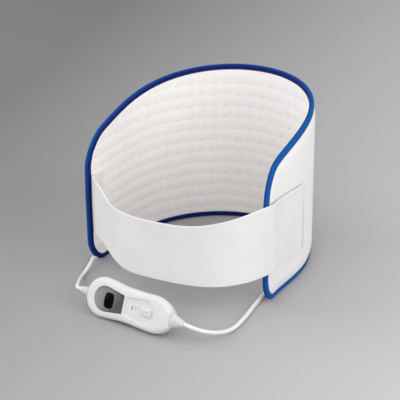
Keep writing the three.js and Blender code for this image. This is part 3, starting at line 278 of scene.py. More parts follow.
soft_lamp("right_lamp", (2.4, -0.8, 1.4), 35, 2.4)
soft_lamp("left_lamp", (-2.4, -1.1, 1.4), 34, 2.4)
soft_lamp("front_lamp", (0.2, -2.4, 1.7), 16, 2.0)
print("room light", ROOM_LIGHT, "and three lamps")

# %% [markdown]
# The pad is one long piece bent in plan: round at the back, straight along the wings. It could be
# bent with a curve modifier, but then every seam and patch on it would need the same modifier.
# Here the curve is worked out once, from the middle of the back, and each cloth layer below asks
# it for its points. Soft as they are, both wing ends are pulled a few millimetres to the right,
# most at their foot.

# %% The pad's curve
HALF_LENGTH = 345.5 * MM
PAD_HEIGHT = 246 * MM
TOP_FALL = 58 * MM
CORNER_RADIUS = 40 * MM
BACK_RADIUS = 124.4 * MM
WING_STRAIGHTENING = 1.104
WING_FLARE = 0.626
LIFT_HALF_LENGTH = 55 * MM
LEAD_LIFT = 7.4 * MM
QUILT_COLUMN = 2 * (HALF_LENGTH - CORNER_RADIUS) / 32
LIFT_PLACE = 3 * QUILT_COLUMN
WING_END = 60 * MM
WING_FOOT = 100 * MM
RIGHT_SET, RIGHT_FOOT = 3.2 * MM, 1.0 * MM
LEFT_SET, LEFT_FOOT = -1.8 * MM, -2.7 * MM
PLAN_REACH = 1.15 * HALF_LENGTH


def ease(share):
    """A smooth rise from 0 to 1."""
    share = np.clip(share, 0, 1)
    return share * share * (3 - 2 * share)


def turn_angle(s):
    """How far the pad has turned in plan at a distance from the middle of its back."""
    u = np.asarray(s) / HALF_LENGTH
    return HALF_LENGTH / BACK_RADIUS * (u - WING_STRAIGHTENING * u ** 3 / 3 - WING_FLARE * u ** 5 / 5)


plan_s = np.linspace(-PLAN_REACH, PLAN_REACH, 4001)
plan_step = plan_s[1] - plan_s[0]
plan_turn = turn_angle(plan_s[:-1] + plan_step / 2)
plan_x = np.concatenate([[0], np.cumsum(np.cos(plan_turn) * plan_step)])
plan_y = np.concatenate([[0], np.cumsum(-np.sin(plan_turn) * plan_step)])
plan_x -= np.interp(0, plan_s, plan_x)
plan_y -= np.interp(0, plan_s, plan_y)
print("wings turn", round(math.degrees(float(turn_angle(HALF_LENGTH)))), "degrees from the back")


# %% Places on the pad
def on_pad(s, z, n):
    """Points of the pad: s along it, z up, n outwards from its middle layer."""
    s, z, n = np.broadcast_arrays(s, z, n)
    angle = turn_angle(s)
    foot = np.clip(1 - z / WING_FOOT, 0, 1)
    pulled = np.where(s > 0, RIGHT_SET + RIGHT_FOOT * foot, LEFT_SET + LEFT_FOOT * foot)
    n = n + ease((np.abs(s) - HALF_LENGTH) / WING_END + 1) * pulled
    x = np.interp(s, plan_s, plan_x) + np.sin(angle) * n
    y = np.interp(s, plan_s, plan_y) + np.cos(angle) * n
    return np.stack([x, y, z], axis=-1)


def corner_rise(s, inset):
    """How far the round corners move an edge inwards."""
    into = np.clip(np.abs(s) - (HALF_LENGTH - CORNER_RADIUS), 0, None)
    radius = CORNER_RADIUS - inset
    return radius - np.sqrt(np.clip(radius ** 2 - into ** 2, 0, None))


def lower_edge(s, inset=0.0):
    away = np.clip(np.abs(s - LIFT_PLACE) / LIFT_HALF_LENGTH, 0, 1)
    return inset + LEAD_LIFT * (1 + np.cos(np.pi * away)) / 2 + corner_rise(s, inset)


def upper_edge(s, inset=0.0):
    return PAD_HEIGHT - TOP_FALL * (np.asarray(s) / HALF_LENGTH) ** 2 - inset - corner_rise(s, inset)


print("wing ends at", on_pad(-HALF_LENGTH, 0, 0).round(4), on_pad(HALF_LENGTH, 0, 0).round(4))

# %% [markdown]
# The controller leans on its drafted side wall, turned a little from the strap. Modelling it where
# it lies would mean slanted axes everywhere. So all its pieces are made lying flat, with their
# length along X and the face up, and one matrix sets them down.

# %% The controller's place
CASE_LENGTH = 142 * MM
HEAD_RADIUS = 27.3 * MM
CASE_LEAN = math.radians(20)
controller_place = (
    Matrix.Translation((8.3 * MM, -395.6 * MM, HEAD_RADIUS * math.cos(CASE_LEAN)))
    @ Matrix.Rotation(math.radians(-8), 4, "Z")
    @ Matrix.Rotation(math.pi / 2 - CASE_LEAN, 4, "X")
)
CASE_RIGHT = CASE_LENGTH / 2
PAD_BOOT = 14 * MM
MAINS_BOOT = 20 * MM


def out_of_boot(end, length, distance):
    """A place on the cord's line, past the end of the boot on one end of the case."""
    return controller_place @ Vector((end * (CASE_RIGHT + GAP + length + distance), 0, 0))


print("controller stands at", [round(part, 3) for part in controller_place.translation])

# %% [markdown]
# Both leads are lengths of soft cord that lie on the floor. A cord could be swept as a mesh, but a
# curve with a round bevel keeps its thickness in every bend and is easy to move: its line is
# given points, joined smoothly. The mains lead runs from the controller along the inside of
# the right wing, under the pad, and ends in a tied coil and a plug behind the back.

# %% Cord helpers
def smooth_line(points, steps):
    """A smooth line through points, each span split into steps, with even flow past unequal spans."""
    points = [Vector(p) for p in points]
    ends = [2 * points[0] - points[1]] + points + [2 * points[-1] - points[-2]]
    line = []
    for a, b, c, d in zip(ends, ends[1:], ends[2:], ends[3:]):
        t1 = math.sqrt((b - a).length)
        t2 = t1 + math.sqrt((c - b).length)
        t3 = t2 + math.sqrt((d - c).length)
        for i in range(steps):
            t = t1 + (t2 - t1) * i / steps
            ab = a.lerp(b, t / t1)
            bc = b.lerp(c, (t - t1) / (t2 - t1))
            cd = c.lerp(d, (t - t2) / (t3 - t2))
            first, second = ab.lerp(bc, t / t2), bc.lerp(cd, (t - t1) / (t3 - t1))
            line.append(first.lerp(second, (t - t1) / (t2 - t1)))
    return line + [points[-1]]


def line_length(line):
    return sum((b - a).length for a, b in zip(line, line[1:]))


def cord_piece(name, line, diameter):
    """A round cord along a line, as a curve with a bevel and closed ends."""
    curve = bpy.data.curves.new(name, "CURVE")
    curve.dimensions = "3D"
    curve.bevel_depth = diameter / 2
    curve.bevel_resolution = 5
    curve.use_fill_caps = True
    spline = curve.splines.new("POLY")
    spline.points.add(len(line) - 1)
    for point, place in zip(spline.points, line):
        point.co = (*place, 1)
    piece = bpy.data.objects.new(name, curve)
    bpy.context.scene.collection.objects.link(piece)
    return piece


# %% [markdown]
# The cords' sheath is soft white plastic: satin, a little uneven in its shade from handling, with
# a very fine grain. All of it is noise on the object's own coordinates, so a cord needs no
# unwrapping.

# %% Cord finish
sheath = Finish("cord_sheath", srgb(229, 228, 226), 0.42, Specular_IOR_Level=0.4)
dust = sheath.noise(60, 4)
sheath.set(
    Base_Color=sheath.mix(dust.limit(0.35, 0.75) * 0.5, srgb(230, 229, 227), srgb(221, 220, 218)),
    Roughness=0.38 + dust * 0.12,
    Normal=sheath.bump(sheath.noise(900, 2), 0.00006, 0.6),
)
print("sheath finish,", len(sheath.tree.nodes), "nodes")

# %% Pad lead
PAD_LEAD_DIAMETER = 4.8 * MM
GLAND_HEIGHT = 9 * MM
GLAND_OUTSIDE = 5 * MM
GLAND_NOZZLE = 9 * MM
gland_inset = CORNER_RADIUS - math.sqrt(CORNER_RADIUS ** 2 - (CORNER_RADIUS - GLAND_HEIGHT) ** 2)
gland_s = gland_inset - HALF_LENGTH
gland_base = Vector(on_pad(gland_s, GLAND_HEIGHT, 0))
gland_aim = (Vector(on_pad(gland_s - MM, GLAND_HEIGHT, 0)) - gland_base).normalized()
lead_aim = Matrix.Rotation(math.radians(20), 3, "Z") @ gland_aim
gland_elbow = gland_base + gland_aim * GLAND_OUTSIDE
pad_lead_points = [
    gland_elbow + lead_aim * (GLAND_NOZZLE + GAP),
    gland_elbow + lead_aim * (GLAND_NOZZLE + 5 * MM),
    (-0.1299, -0.2800, 0.0082),
    (-0.1293, -0.2855, 0.0062),
    (-0.1289, -0.2905, 0.0042),
    (-0.1282, -0.2955, 0.0029),
    (-0.1269, -0.3010, 0.0027),
    (-0.1247, -0.3079, 0.0034),
    (-0.1206, -0.3176, 0.0056),
    (-0.1147, -0.3295, 0.0092),
    (-0.1075, -0.3425, 0.0136),
    (-0.1003, -0.3550, 0.0178),
    (-0.0944, -0.3658, 0.0212),
    (-0.0895, -0.3746, 0.0236),
    (-0.0848, -0.3806, 0.0250),
    out_of_boot(-1, PAD_BOOT, 4 * MM),
    out_of_boot(-1, PAD_BOOT, GAP),
]
pad_lead_line = smooth_line(pad_lead_points, 6)
pad_lead = wear(cord_piece("pad_lead_cord", pad_lead_line, PAD_LEAD_DIAMETER), sheath)
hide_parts("pad_lead")
line_length(pad_lead_line)
print("pad lead", round(line_length(pad_lead_line), 3), "m")

# %% Coil of the mains lead
MAINS_DIAMETER = 5.6 * MM
COIL_CENTRE = Vector((-0.010, 0.057, 0))
COIL_LEAST_RADIUS = 23 * MM
COIL_TURNS = 6.25
COIL_PITCH = MAINS_DIAMETER + 0.5 * MM
COIL_LOW = 1.5 * MM + MAINS_DIAMETER / 2
COIL_STEPS = 36
coil_middle = math.pi * COIL_TURNS


def coil_point(angle):
    """A place on the coil: in to its middle on the lower level, then out again on the upper one."""
    radius = COIL_LEAST_RADIUS + COIL_PITCH * abs(angle - coil_middle) / (2 * math.pi)
    climb = float(ease((angle - coil_middle) / math.pi + 0.5))
    turned = Vector((math.cos(angle), math.sin(angle), 0)) * radius
    return COIL_CENTRE + turned + Vector((0, 0, COIL_LOW + COIL_PITCH * climb))


coil_count = int(COIL_TURNS * COIL_STEPS)
coil_line = [coil_point(2 * coil_middle * i / coil_count) for i in range(coil_count + 1)]
print("coil", round(line_length(coil_line), 2), "m")

# %% Mains lead
PLUG_TAIL = 22 * MM
plug_place = Matrix.Translation((-0.064, 0.094, 0.00685)) @ Matrix.Rotation(math.radians(186), 4, "Z")
mains_points = [
    out_of_boot(1, MAINS_BOOT, GAP),
    out_of_boot(1, MAINS_BOOT, 6 * MM),
    (0.1113, -0.4103, 0.0251),
    (0.1188, -0.4083, 0.0231),
    (0.1256, -0.4028, 0.0199),
    (0.1310, -0.3939, 0.0159),
    (0.1348, -0.3824, 0.0115),
    (0.1372, -0.3694, 0.0076),
    (0.1384, -0.3547, 0.0044),
    (0.1386, -0.3385, 0.0030),
    (0.1374, -0.3190, 0.0030),
    (0.1348, -0.2980, 0.0030),
    (0.1314, -0.2750, 0.0030),
    (0.1286, -0.2510, 0.0030),
    (0.1268, -0.2260, 0.0030),
    (0.1256, -0.2000, 0.0030),
    (0.1230, -0.1720, 0.0030),
    (0.1170, -0.1430, 0.0030),
    (0.1075, -0.1160, 0.0030),
    (0.0955, -0.0900, 0.0030),
    (0.0820, -0.0640, 0.0030),
    (0.0690, -0.0385, 0.0030),
    (0.0570, -0.0130, 0.0030),
    (0.0465, 0.0090, 0.0030),
    (0.0380, 0.0250, 0.0032),
    coil_line[0] - Vector((0, 20 * MM, 0)),
    coil_line[0] - Vector((0, MAINS_DIAMETER, 0)),
]
tail_points = [
    coil_line[-1] + Vector((-MAINS_DIAMETER, 0, 0)),
    coil_line[-1] + Vector((-MAINS_DIAMETER - 6 * MM, 0, 0)),
    plug_place @ Vector((-PLUG_TAIL - 6 * MM, 0, 0)),
    plug_place @ Vector((-PLUG_TAIL - GAP, 0, 0)),
]
mains_line = smooth_line(mains_points, 6) + coil_line + smooth_line(tail_points, 6)
mains_lead = wear(cord_piece("mains_lead_cord", mains_line, MAINS_DIAMETER), sheath)
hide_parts("mains_lead", "mains_coil", "mains_tail")
print("mains lead", round(line_length(mains_line), 3), "m")

# %% [markdown]
# Cloth starts as a flat grid of small squares whose points are then moved to where the cloth lies.
# A few short helpers do what the hand does again and again: pick a piece, add a grid, apply a
# modifier, turn the faces outwards and smooth the shading.


# %% Modelling helpers
def pick(piece):
    """Makes one piece the only selected one."""
    bpy.ops.object.select_all(action="DESELECT")
    bpy.context.view_layer.objects.active = piece
    piece.select_set(True)


def new_piece(name, add, **settings):
    """A new primitive, alone in the selection, with its own name."""
    bpy.ops.object.select_all(action="DESELECT")
    add(**settings)
    piece = bpy.context.object
    piece.name = piece.data.name = name
    return piece


def cloth_grid(name, columns, rows, place):
    """A sheet of cloth. place takes shares along and across it, 0 to 1, and gives its points."""
    piece = new_piece(name, bpy.ops.mesh.primitive_grid_add,
                      x_subdivisions=columns, y_subdivisions=rows, size=2)
    share = (points_of(piece)[:, :2] + 1) / 2
    move_points(piece, place(share[:, 0], share[:, 1]))
    return piece


def points_of(piece):
    flat = np.empty(len(piece.data.vertices) * 3)
    piece.data.vertices.foreach_get("co", flat)
    return flat.reshape(-1, 3)


def move_points(piece, points):
    piece.data.vertices.foreach_set("co", np.asarray(points, float).ravel())
    piece.data.update()


# %% Modifiers and shading
def finish_modifier(piece, kind, **settings):
    pick(piece)
    modifier = piece.modifiers.new(kind.lower(), kind)
    for key, value in settings.items():
        setattr(modifier, key, value)
    bpy.ops.object.modifier_apply(modifier=modifier.name)


def close_up(piece, merge=0.01 * MM, fill=True, outwards=True):
    """Merges doubled points, closes open ends and turns all faces outwards."""
    pick(piece)
    bpy.ops.object.mode_set(mode="EDIT")
    bpy.ops.mesh.select_all(action="SELECT")
    bpy.ops.mesh.remove_doubles(threshold=merge)
    if fill:
        bpy.ops.mesh.fill_holes(sides=0)
    if outwards:
        bpy.ops.mesh.normals_make_consistent(inside=False)
    bpy.ops.object.mode_set(mode="OBJECT")


def soften(piece, width, segments, degrees):
    """Rounds the edges that turn by more than an angle."""
    finish_modifier(piece, "BEVEL", width=width, segments=segments,
                    limit_method="ANGLE", angle_limit=math.radians(degrees))


def smooth(piece, degrees=40):
    pick(piece)
    bpy.ops.object.shade_smooth_by_angle(angle=math.radians(degrees))


# %% [markdown]
# Cloth that is sewn down and filled swells between its stitches. That relief could be a bump in
# the material, but then it would have no shape from the side, or it could be sculpted by hand,
# cell by cell. Blender's cloth solver does it by itself: the flat sheet is pinned along its rim
# and at every stitch, air pressure pushes it up with gravity off, and the shape after twenty
# frames is kept. The sheet is simulated ten times its size, which suits the solver, and only then
# wrapped onto the pad's curve.

# %% Sheets of the pad
COVER_INSET = 1.6 * MM
RIM_HELD = 5 * MM
SIM_SCALE = 10
SIM_FRAMES = 20


def flat_pad(along, up):
    """Shares of the flat pad, as places along it and heights."""
    s = (along * 2 - 1) * (HALF_LENGTH - COVER_INSET)
    low, high = lower_edge(s, COVER_INSET), upper_edge(s, COVER_INSET)
    return np.stack([s, low + up * (high - low), 0 * s], 1)


def from_rim(s, z):
    """How far a place on the pad is from its rim."""
    return np.minimum(np.minimum(z - lower_edge(s), upper_edge(s) - z), HALF_LENGTH - np.abs(s))


def swell(piece, sewn, pressure, most):
    """Blows a flat sheet up between its sewn points, and gives each point's height, at most most."""
    move_points(piece, points_of(piece) * SIM_SCALE)
    piece.vertex_groups.new(name="sewn").add(np.flatnonzero(sewn).tolist(), 1, "ADD")
    cloth = piece.modifiers.new("cloth", "CLOTH")
    cloth.settings.vertex_group_mass = "sewn"
    cloth.settings.use_pressure = True
    cloth.settings.uniform_pressure_force = pressure
    cloth.settings.effector_weights.gravity = 0
    cloth.collision_settings.use_collision = False
    cloth.point_cache.frame_end = SIM_FRAMES
    for number in range(1, SIM_FRAMES + 1):
        bpy.context.scene.frame_set(number)
    pick(piece)
    bpy.ops.object.modifier_apply(modifier=cloth.name)
    bpy.context.scene.frame_set(1)
    piece.vertex_groups.clear()
    return np.clip(points_of(piece)[:, 2] / SIM_SCALE, 0, most)


print("flat pad", round(2 * (HALF_LENGTH - COVER_INSET), 3), "m long")

# %% Inner cover
QUILT_ROW = 18 * MM
STITCH_LENGTH = 7 * MM
STITCH_FREE_RIM = 13 * MM
THREAD_HELD = 1.3 * MM
INNER_RIM = 3.0 * MM
INNER_FACE = 3.35 * MM
INNER_RIM_REACH = 12 * MM
INNER_WALL = 1.1 * MM
QUILT_CROWN = 1.3 * MM
QUILT_PRESSURE = 6
PAINTED_SHADE_REACH = 1.6 * MM


def from_stitch(s, z):
    """How far a place on the pad is from the nearest stitch."""
    to_row = np.abs(z - np.round(z / QUILT_ROW) * QUILT_ROW)
    to_column = np.abs(s - np.round(s / QUILT_COLUMN) * QUILT_COLUMN)
    return np.hypot(np.clip(to_column - STITCH_LENGTH / 2, 0, None), to_row)


inner_cover = cloth_grid("inner_cover_quilt", 288, 104, flat_pad)
s, z = points_of(inner_cover).T[:2]
rim = from_rim(s, z)
from_thread = np.where(rim > STITCH_FREE_RIM, from_stitch(s, z), 10 * MM)
sewn = (rim < RIM_HELD) | (from_thread < THREAD_HELD)
puff = swell(inner_cover, sewn, QUILT_PRESSURE, QUILT_CROWN)
print("quilt swells", round(float(puff.mean()) / MM, 2), "mm on average")

# %% Inner cover, wrapped
face = INNER_RIM + (INNER_FACE - INNER_RIM) * ease(rim / INNER_RIM_REACH)
move_points(inner_cover, on_pad(s, z, -face - puff))
# Painted shade: a share that is 1 at each stitch and fades away from it, for the shade in its dent.
painted_dent_shade = inner_cover.data.attributes.new("painted_dent_shade", "FLOAT", "POINT")
painted_dent_shade.data.foreach_set("value", np.exp(-((from_thread / PAINTED_SHADE_REACH) ** 2)).astype(np.float32))
finish_modifier(inner_cover, "SOLIDIFY", thickness=INNER_WALL, offset=-1)
smooth(inner_cover, 60)
print("inner cover", len(inner_cover.data.polygons), "faces")

# %% [markdown]
# The quilt is brushed white cloth. A fine noise is its pile, a wide one makes it a little uneven,
# and a touch of sheen keeps its edges pale, as short fibres do. An attribute that was worked out
# together with the shape paints shade into the dent round each stitch, so that the painted shade
# sits exactly where the thread is.

# %% Quilt finish
quilt_cloth = Finish("quilt_cloth", srgb(236, 234, 231), 0.9, Sheen_Weight=0.25, Sheen_Roughness=0.5)
pile = quilt_cloth.noise(420, 5)
patches = quilt_cloth.noise(9, 3)
brushed = quilt_cloth.mix(patches.limit(0.3, 0.75) * 0.6 + pile * 0.25,
                          srgb(241, 239, 237), srgb(234, 232, 229))
quilt_cloth.set(
    # Painted shade darkens the cloth in the dents round the stitches.
    Base_Color=quilt_cloth.mix(quilt_cloth.attribute("painted_dent_shade") * 0.25, brushed, srgb(214, 211, 206)),
    Roughness=0.82 + pile * 0.15,
    Normal=quilt_cloth.bump(pile, 0.0005, 0.5),
)
wear(inner_cover, quilt_cloth)
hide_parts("inner_cover")
print("quilt finish,", len(quilt_cloth.tree.nodes), "nodes")

# %% [markdown]
# The outer cover is the same sheet without stitches. It is held at its rim and under the loop
# patch that is sewn to the right wing, and swells softly elsewhere, so the same solver shapes it
# with less pressure. The felt between them is out of sight and only has to be where it belongs, so
# a plain thick sheet will do.

# %% Outer cover
OUTER_RIM = 0.9 * MM
OUTER_FACE = 3.35 * MM
OUTER_RIM_REACH = 18 * MM
OUTER_WALL = 1.0 * MM
OUTER_CROWN = 1.1 * MM
OUTER_PRESSURE = 0.8
PATCH_LOW = 59 * MM
PATCH_HIGH = 137 * MM
LOOP_END = HALF_LENGTH - 7.5 * MM
LOOP_LENGTH = 106 * MM

outer_cover = cloth_grid("outer_cover_cloth", 216, 78, flat_pad)
s, z = points_of(outer_cover).T[:2]
rim = from_rim(s, z)
under_patch = (s > LOOP_END - LOOP_LENGTH) & (s < LOOP_END) & (z > PATCH_LOW) & (z < PATCH_HIGH)
puff = swell(outer_cover, (rim < RIM_HELD) | under_patch, OUTER_PRESSURE, OUTER_CROWN)
print("outer cover swells", round(float(puff.mean()) / MM, 2), "mm on average")
face = OUTER_RIM + (OUTER_FACE - OUTER_RIM) * ease(rim / OUTER_RIM_REACH - 0.22)
move_points(outer_cover, on_pad(s, z, face + puff))
finish_modifier(outer_cover, "SOLIDIFY", thickness=OUTER_WALL, offset=1)
smooth(outer_cover, 60)

cover_cloth = Finish("cover_cloth", srgb(232, 230, 229), 0.85, Sheen_Weight=0.2, Sheen_Roughness=0.5)
weave = cover_cloth.noise(650, 4)
cover_cloth.set(
    Base_Color=cover_cloth.mix(cover_cloth.noise(12, 3).limit(0.3, 0.7) * 0.5 + weave * 0.2,
                               srgb(234, 232, 231), srgb(226, 224, 222)),
    Roughness=0.78 + weave * 0.14,
    Normal=cover_cloth.bump(weave, 0.0004, 0.5),
)
wear(outer_cover, cover_cloth)
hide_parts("outer_cover")

# %% Felt between the covers
FELT_MIDDLE = 1.0 * MM
FELT_WALL = 1.2 * MM
felt = cloth_grid("filling_felt_sheet", 120, 40, flat_pad)
s, z = points_of(felt).T[:2]
move_points(felt, on_pad(s, z, FELT_MIDDLE))
finish_modifier(felt, "SOLIDIFY", thickness=FELT_WALL, offset=0)
felt_fibre = two_tone("felt_fibre", srgb(214, 209, 201), srgb(196, 190, 181), 1.0,
                      grain=(380, 6, (1, 1, 2.5)), relief=(0.0006, 0.7))
wear(felt, felt_fibre)
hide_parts("filling_felt")
print("felt", round(FELT_WALL / MM, 1), "mm thick")

# %% [markdown]
# The binding is a woven tape folded over the rim and sewn through both covers. A curve with a
# round bevel can't hold a flat leg on each cover, so the tape is a grid bent over the pad's
# outline, its section a round-cornered U. Its UV map runs along and across it: the half on the
# inner side is painted a deeper blue than the half that shows outside, as painted shade.

# %% The pad's outline
BINDING_STEPS = 900


def outline_line(count):
    """Even steps round the pad's outline: place along the pad, height, and the inward direction."""
    straight = HALF_LENGTH - CORNER_RADIUS
    spread = np.linspace(-straight, straight, 400)
    turn = np.linspace(0, np.pi / 2, 40)[1:-1]
    rows = []

    def corner(side, top, angles):
        s = side * (straight + CORNER_RADIUS * np.sin(angles))
        z = upper_edge(s) if top else lower_edge(s)
        rows.append(np.stack([s, z, -side * np.sin(angles), (-1 if top else 1) * np.cos(angles)], 1))

    def end(side):
        s = np.full(60, side * HALF_LENGTH)
        z = np.linspace(float(lower_edge(s[0])), float(upper_edge(s[0])), 60)
        rows.append(np.stack([s, z if side > 0 else z[::-1], np.full(60, -side), 0 * s], 1))

    rows.append(np.stack([spread, lower_edge(spread), 0 * spread, 0 * spread + 1], 1))
    corner(1, False, turn)
    end(1)
    corner(1, True, turn[::-1])
    back = spread[::-1]
    rows.append(np.stack([back, upper_edge(back), 0 * back, 0 * back - 1], 1))
    corner(-1, True, turn)
    end(-1)
    corner(-1, False, turn[::-1])
    path = np.concatenate(rows)
    path = np.concatenate([path, path[:1]])
    run = np.concatenate([[0], np.cumsum(np.hypot(*np.diff(path[:, :2], axis=0).T))])
    even = np.linspace(0, run[-1], count)
    return np.stack([np.interp(even, run, path[:, i]) for i in range(4)], 1), run[-1]


binding_line, binding_length = outline_line(BINDING_STEPS + 1)
print("outline", round(binding_length, 3), "m round the pad")

# %% Edge binding
BINDING_MIDDLE = -0.9 * MM
BINDING_HALF = 3.4 * MM
BINDING_WALL = 0.8 * MM
BINDING_ROUND = 2.4 * MM
BINDING_LEG = 5.0 * MM
FOLD_SHARE = 0.45
PUCKER = 0.15 * MM
PUCKERS = 330


def binding_place(along, across):
    """Points of the tape: along the outline, and across it from the inner leg over the fold."""
    row = binding_line[np.round(along * BINDING_STEPS).astype(int)]
    out = np.abs(across * 2 - 1)
    fold = np.clip(out / FOLD_SHARE, 0, 1) * np.pi / 2
    leg = np.clip((out - FOLD_SHARE) / (1 - FOLD_SHARE), 0, 1)
    depth = BINDING_WALL / 2 + BINDING_ROUND * (1 - np.cos(fold)) + BINDING_LEG * leg
    reach = (BINDING_HALF - BINDING_WALL / 2) * np.sin(fold)
    pucker = PUCKER * np.sin(along * 2 * np.pi * PUCKERS) * np.exp(-((leg - 0.6) / 0.25) ** 2)
    n = BINDING_MIDDLE + np.sign(across - 0.5) * (reach - pucker)
    return on_pad(row[:, 0] + row[:, 2] * depth, row[:, 1] + row[:, 3] * depth, n)


binding = cloth_grid("edge_binding_tape", BINDING_STEPS, 24, binding_place)
close_up(binding, merge=0.02 * MM, fill=False)
finish_modifier(binding, "SOLIDIFY", thickness=BINDING_WALL, offset=0)
smooth(binding, 60)
tape = Finish("binding_tape", srgb(10, 80, 150), 0.7, Specular_IOR_Level=0.12)
threads = tape.noise(500, 3)
# Painted shade: the inner half of the tape is a deeper blue than the outer half.
base_tone = tape.mix(tape.uv("Y").limit(0.2, 0.66), srgb(16, 16, 94), srgb(4, 92, 162))
tape.set(
    Base_Color=tape.mix(threads.limit(0.3, 0.7) * 0.4, base_tone, srgb(6, 34, 100)),
    Roughness=0.62 + threads * 0.2,
    Normal=tape.bump(threads, 0.0005, 0.6),
)
wear(binding, tape)
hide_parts("edge_binding")
print("binding", len(binding.data.polygons), "faces")

# %% [markdown]
# A seam is a row of short stitches. They could be drawn in a texture, but thread that stands up
# catches the light. One stitch is modelled from a small sphere, pulled long and pressed flat, and
# copied along the seam, each copy turned to lie on the cloth.


# %% Stitches
def seam(name, middles, along, out, length, width, finish, body="belt"):
    """Stitches at the given middles, each lying along one direction and facing out in another."""
    one = new_piece("one_stitch", bpy.ops.mesh.primitive_uv_sphere_add,
                    segments=8, ring_count=4, radius=0.5)
    faces = [list(polygon.vertices) for polygon in one.data.polygons]
    template = points_of(one) * (width, width * 0.7, length)
    bpy.data.objects.remove(one)
    along = along / np.linalg.norm(along, axis=1, keepdims=True)
    side = np.cross(along, out)
    side /= np.linalg.norm(side, axis=1, keepdims=True)
    turn = np.stack([side, np.cross(side, along), along], 1)
    points = (middles[:, None, :] + np.einsum("vk,nkj->nvj", template, turn)).reshape(-1, 3)
    count = len(template)
    copies = [[v + count * i for v in face] for i in range(len(middles)) for face in faces]
    mesh = bpy.data.meshes.new(name)
    mesh.from_pydata(points.tolist(), [], copies)
    piece = bpy.data.objects.new(name, mesh)
    bpy.context.scene.collection.objects.link(piece)
    pick(piece)
    bpy.ops.object.shade_smooth()
    print(name, len(middles), "stitches")
    return wear(piece, finish, body)


# %% Stitches of the tape and the quilt
TAPE_STITCHES = 470
SEWN_STITCH = 2.6 * MM
blue_thread, white_thread = (
    two_tone(name, pale, deep, 0.6, grain=(2200, 2), relief=(0.0002, 0.6))
    for name, pale, deep in (("blue_thread", srgb(38, 98, 172), srgb(24, 62, 132)),
                             ("white_thread", srgb(222, 220, 216), srgb(196, 193, 187))))
step = np.arange(TAPE_STITCHES) / TAPE_STITCHES
for side, share in (("inner", 0.1), ("outer", 0.9)):
    ahead = binding_place((step + 0.001) % 1, np.full(TAPE_STITCHES, share))
    here = binding_place(step, np.full(TAPE_STITCHES, share))
    row = binding_line[np.round(step * BINDING_STEPS).astype(int)]
    out = on_pad(row[:, 0], row[:, 1], 1.0) - on_pad(row[:, 0], row[:, 1], 0.0)
    out *= -1 if side == "inner" else 1
    seam("tape_stitches_" + side, here + out * BINDING_WALL * 0.5, ahead - here, out,
         SEWN_STITCH, 0.55 * MM, blue_thread)

columns = np.arange(-18, 19) * QUILT_COLUMN
rows = np.arange(1, 14) * QUILT_ROW
s, z = (grid.ravel() for grid in np.meshgrid(columns, rows))
inside = from_rim(s, z) > STITCH_FREE_RIM
s, z = s[inside], z[inside]
depth = -(INNER_FACE + 0.05 * MM)
seam("quilt_stitches", on_pad(s, z, depth), on_pad(s + MM, z, depth) - on_pad(s, z, depth),
     on_pad(s, z, -1.0) - on_pad(s, z, 0.0), STITCH_LENGTH, 0.7 * MM, white_thread)

# %% [markdown]
# The strap is wide elastic webbing: sewn inside the left wing, round the front, and laid over the
# right wing where hook and loop tape holds its free end. Its route is set by what it joins, so a
# cloth simulation would only add chance. Its two edges are smooth lines through measured places,
# and the webbing is the ruled sheet between them, a little crinkled where it bends.

# %% Strap lines
STRAP_THICKNESS = 3 * MM
SEWN_DEPTH = -5.15 * MM
TAB_DEPTH = 7.95 * MM
PEEL_PLACE = HALF_LENGTH + STRAP_THICKNESS
TAB_END = HALF_LENGTH - 114 * MM
STRAP_PLACES = [
    (0.052, -3, 52, 134), (0.093, 4, 50.5, 130.5), (0.142, 15, 49.5, 127), (0.21, 32.5, 48.5, 124.5),
    (0.266, 46.5, 48, 124.5), (0.334, 61.5, 48, 128.4), (0.394, 71.5, 48, 131.2), (0.457, 77, 48.5, 132),
    (0.539, 79, 49, 132.5), (0.624, 79.5, 49.5, 133.2), (0.709, 78.5, 50, 134.6), (0.794, 74.5, 50.5, 137.5),
    (0.868, 66.5, 51, 142), (0.928, 54, 51.5, 146), (0.978, 37, 52, 150), (1.012, 18, 52.5, 152.5),
]
wing_left, wing_right = (Vector((np.interp(s, plan_s, plan_x), np.interp(s, plan_s, plan_y), 0))
                         for s in (-HALF_LENGTH, HALF_LENGTH))


def strap_edge(sewn, edge, root, end):
    """A smooth line along one edge of the strap, from its seam to its free end."""
    points = [Vector(on_pad(inset * MM - HALF_LENGTH, sewn * MM, SEWN_DEPTH - lift * MM))
              for inset, lift in ((34, 0), (20, 0.35), (7.5, 1.1))]
    for place in STRAP_PLACES:
        point = wing_left.lerp(wing_right, place[0])
        points.append(Vector((point.x, point.y - place[1] * MM, place[edge] * MM)))
    for share in np.linspace(0.1, 1, 8):
        s = PEEL_PLACE + (TAB_END - PEEL_PLACE) * share
        points.append(Vector(on_pad(s, (root + (end - root) * share) * MM, TAB_DEPTH)))
    return np.array([tuple(p) for p in smooth_line(points, 12)])


strap_low = strap_edge(53, 2, 53, 46)
strap_high = strap_edge(139, 3, 152.5, 143)
strap_run = np.concatenate([[0], np.cumsum(np.linalg.norm(np.diff(strap_low, axis=0), axis=1))])
STRAP_LENGTH = float(strap_run[-1])
print("strap", round(STRAP_LENGTH, 3), "m")

# %% Strap
WEBBING_THICKNESS = 2.2 * MM
BEND_PLACE = 0.22
BEND_REACH = 0.09
CRINKLE = 0.4 * MM
SAG = 0.5 * MM


def on_line(line, run):
    """Points of one of the strap's edges, at distances along its lower edge."""
    return np.stack([np.interp(run, strap_run, line[:, i]) for i in range(3)], -1)


def facing_out(tangent):
    """Level directions square to the strap's run, towards its outer side."""
    out = np.stack([tangent[:, 1], -tangent[:, 0], 0 * tangent[:, 0]], -1)
    return out / np.linalg.norm(out, axis=1, keepdims=True)


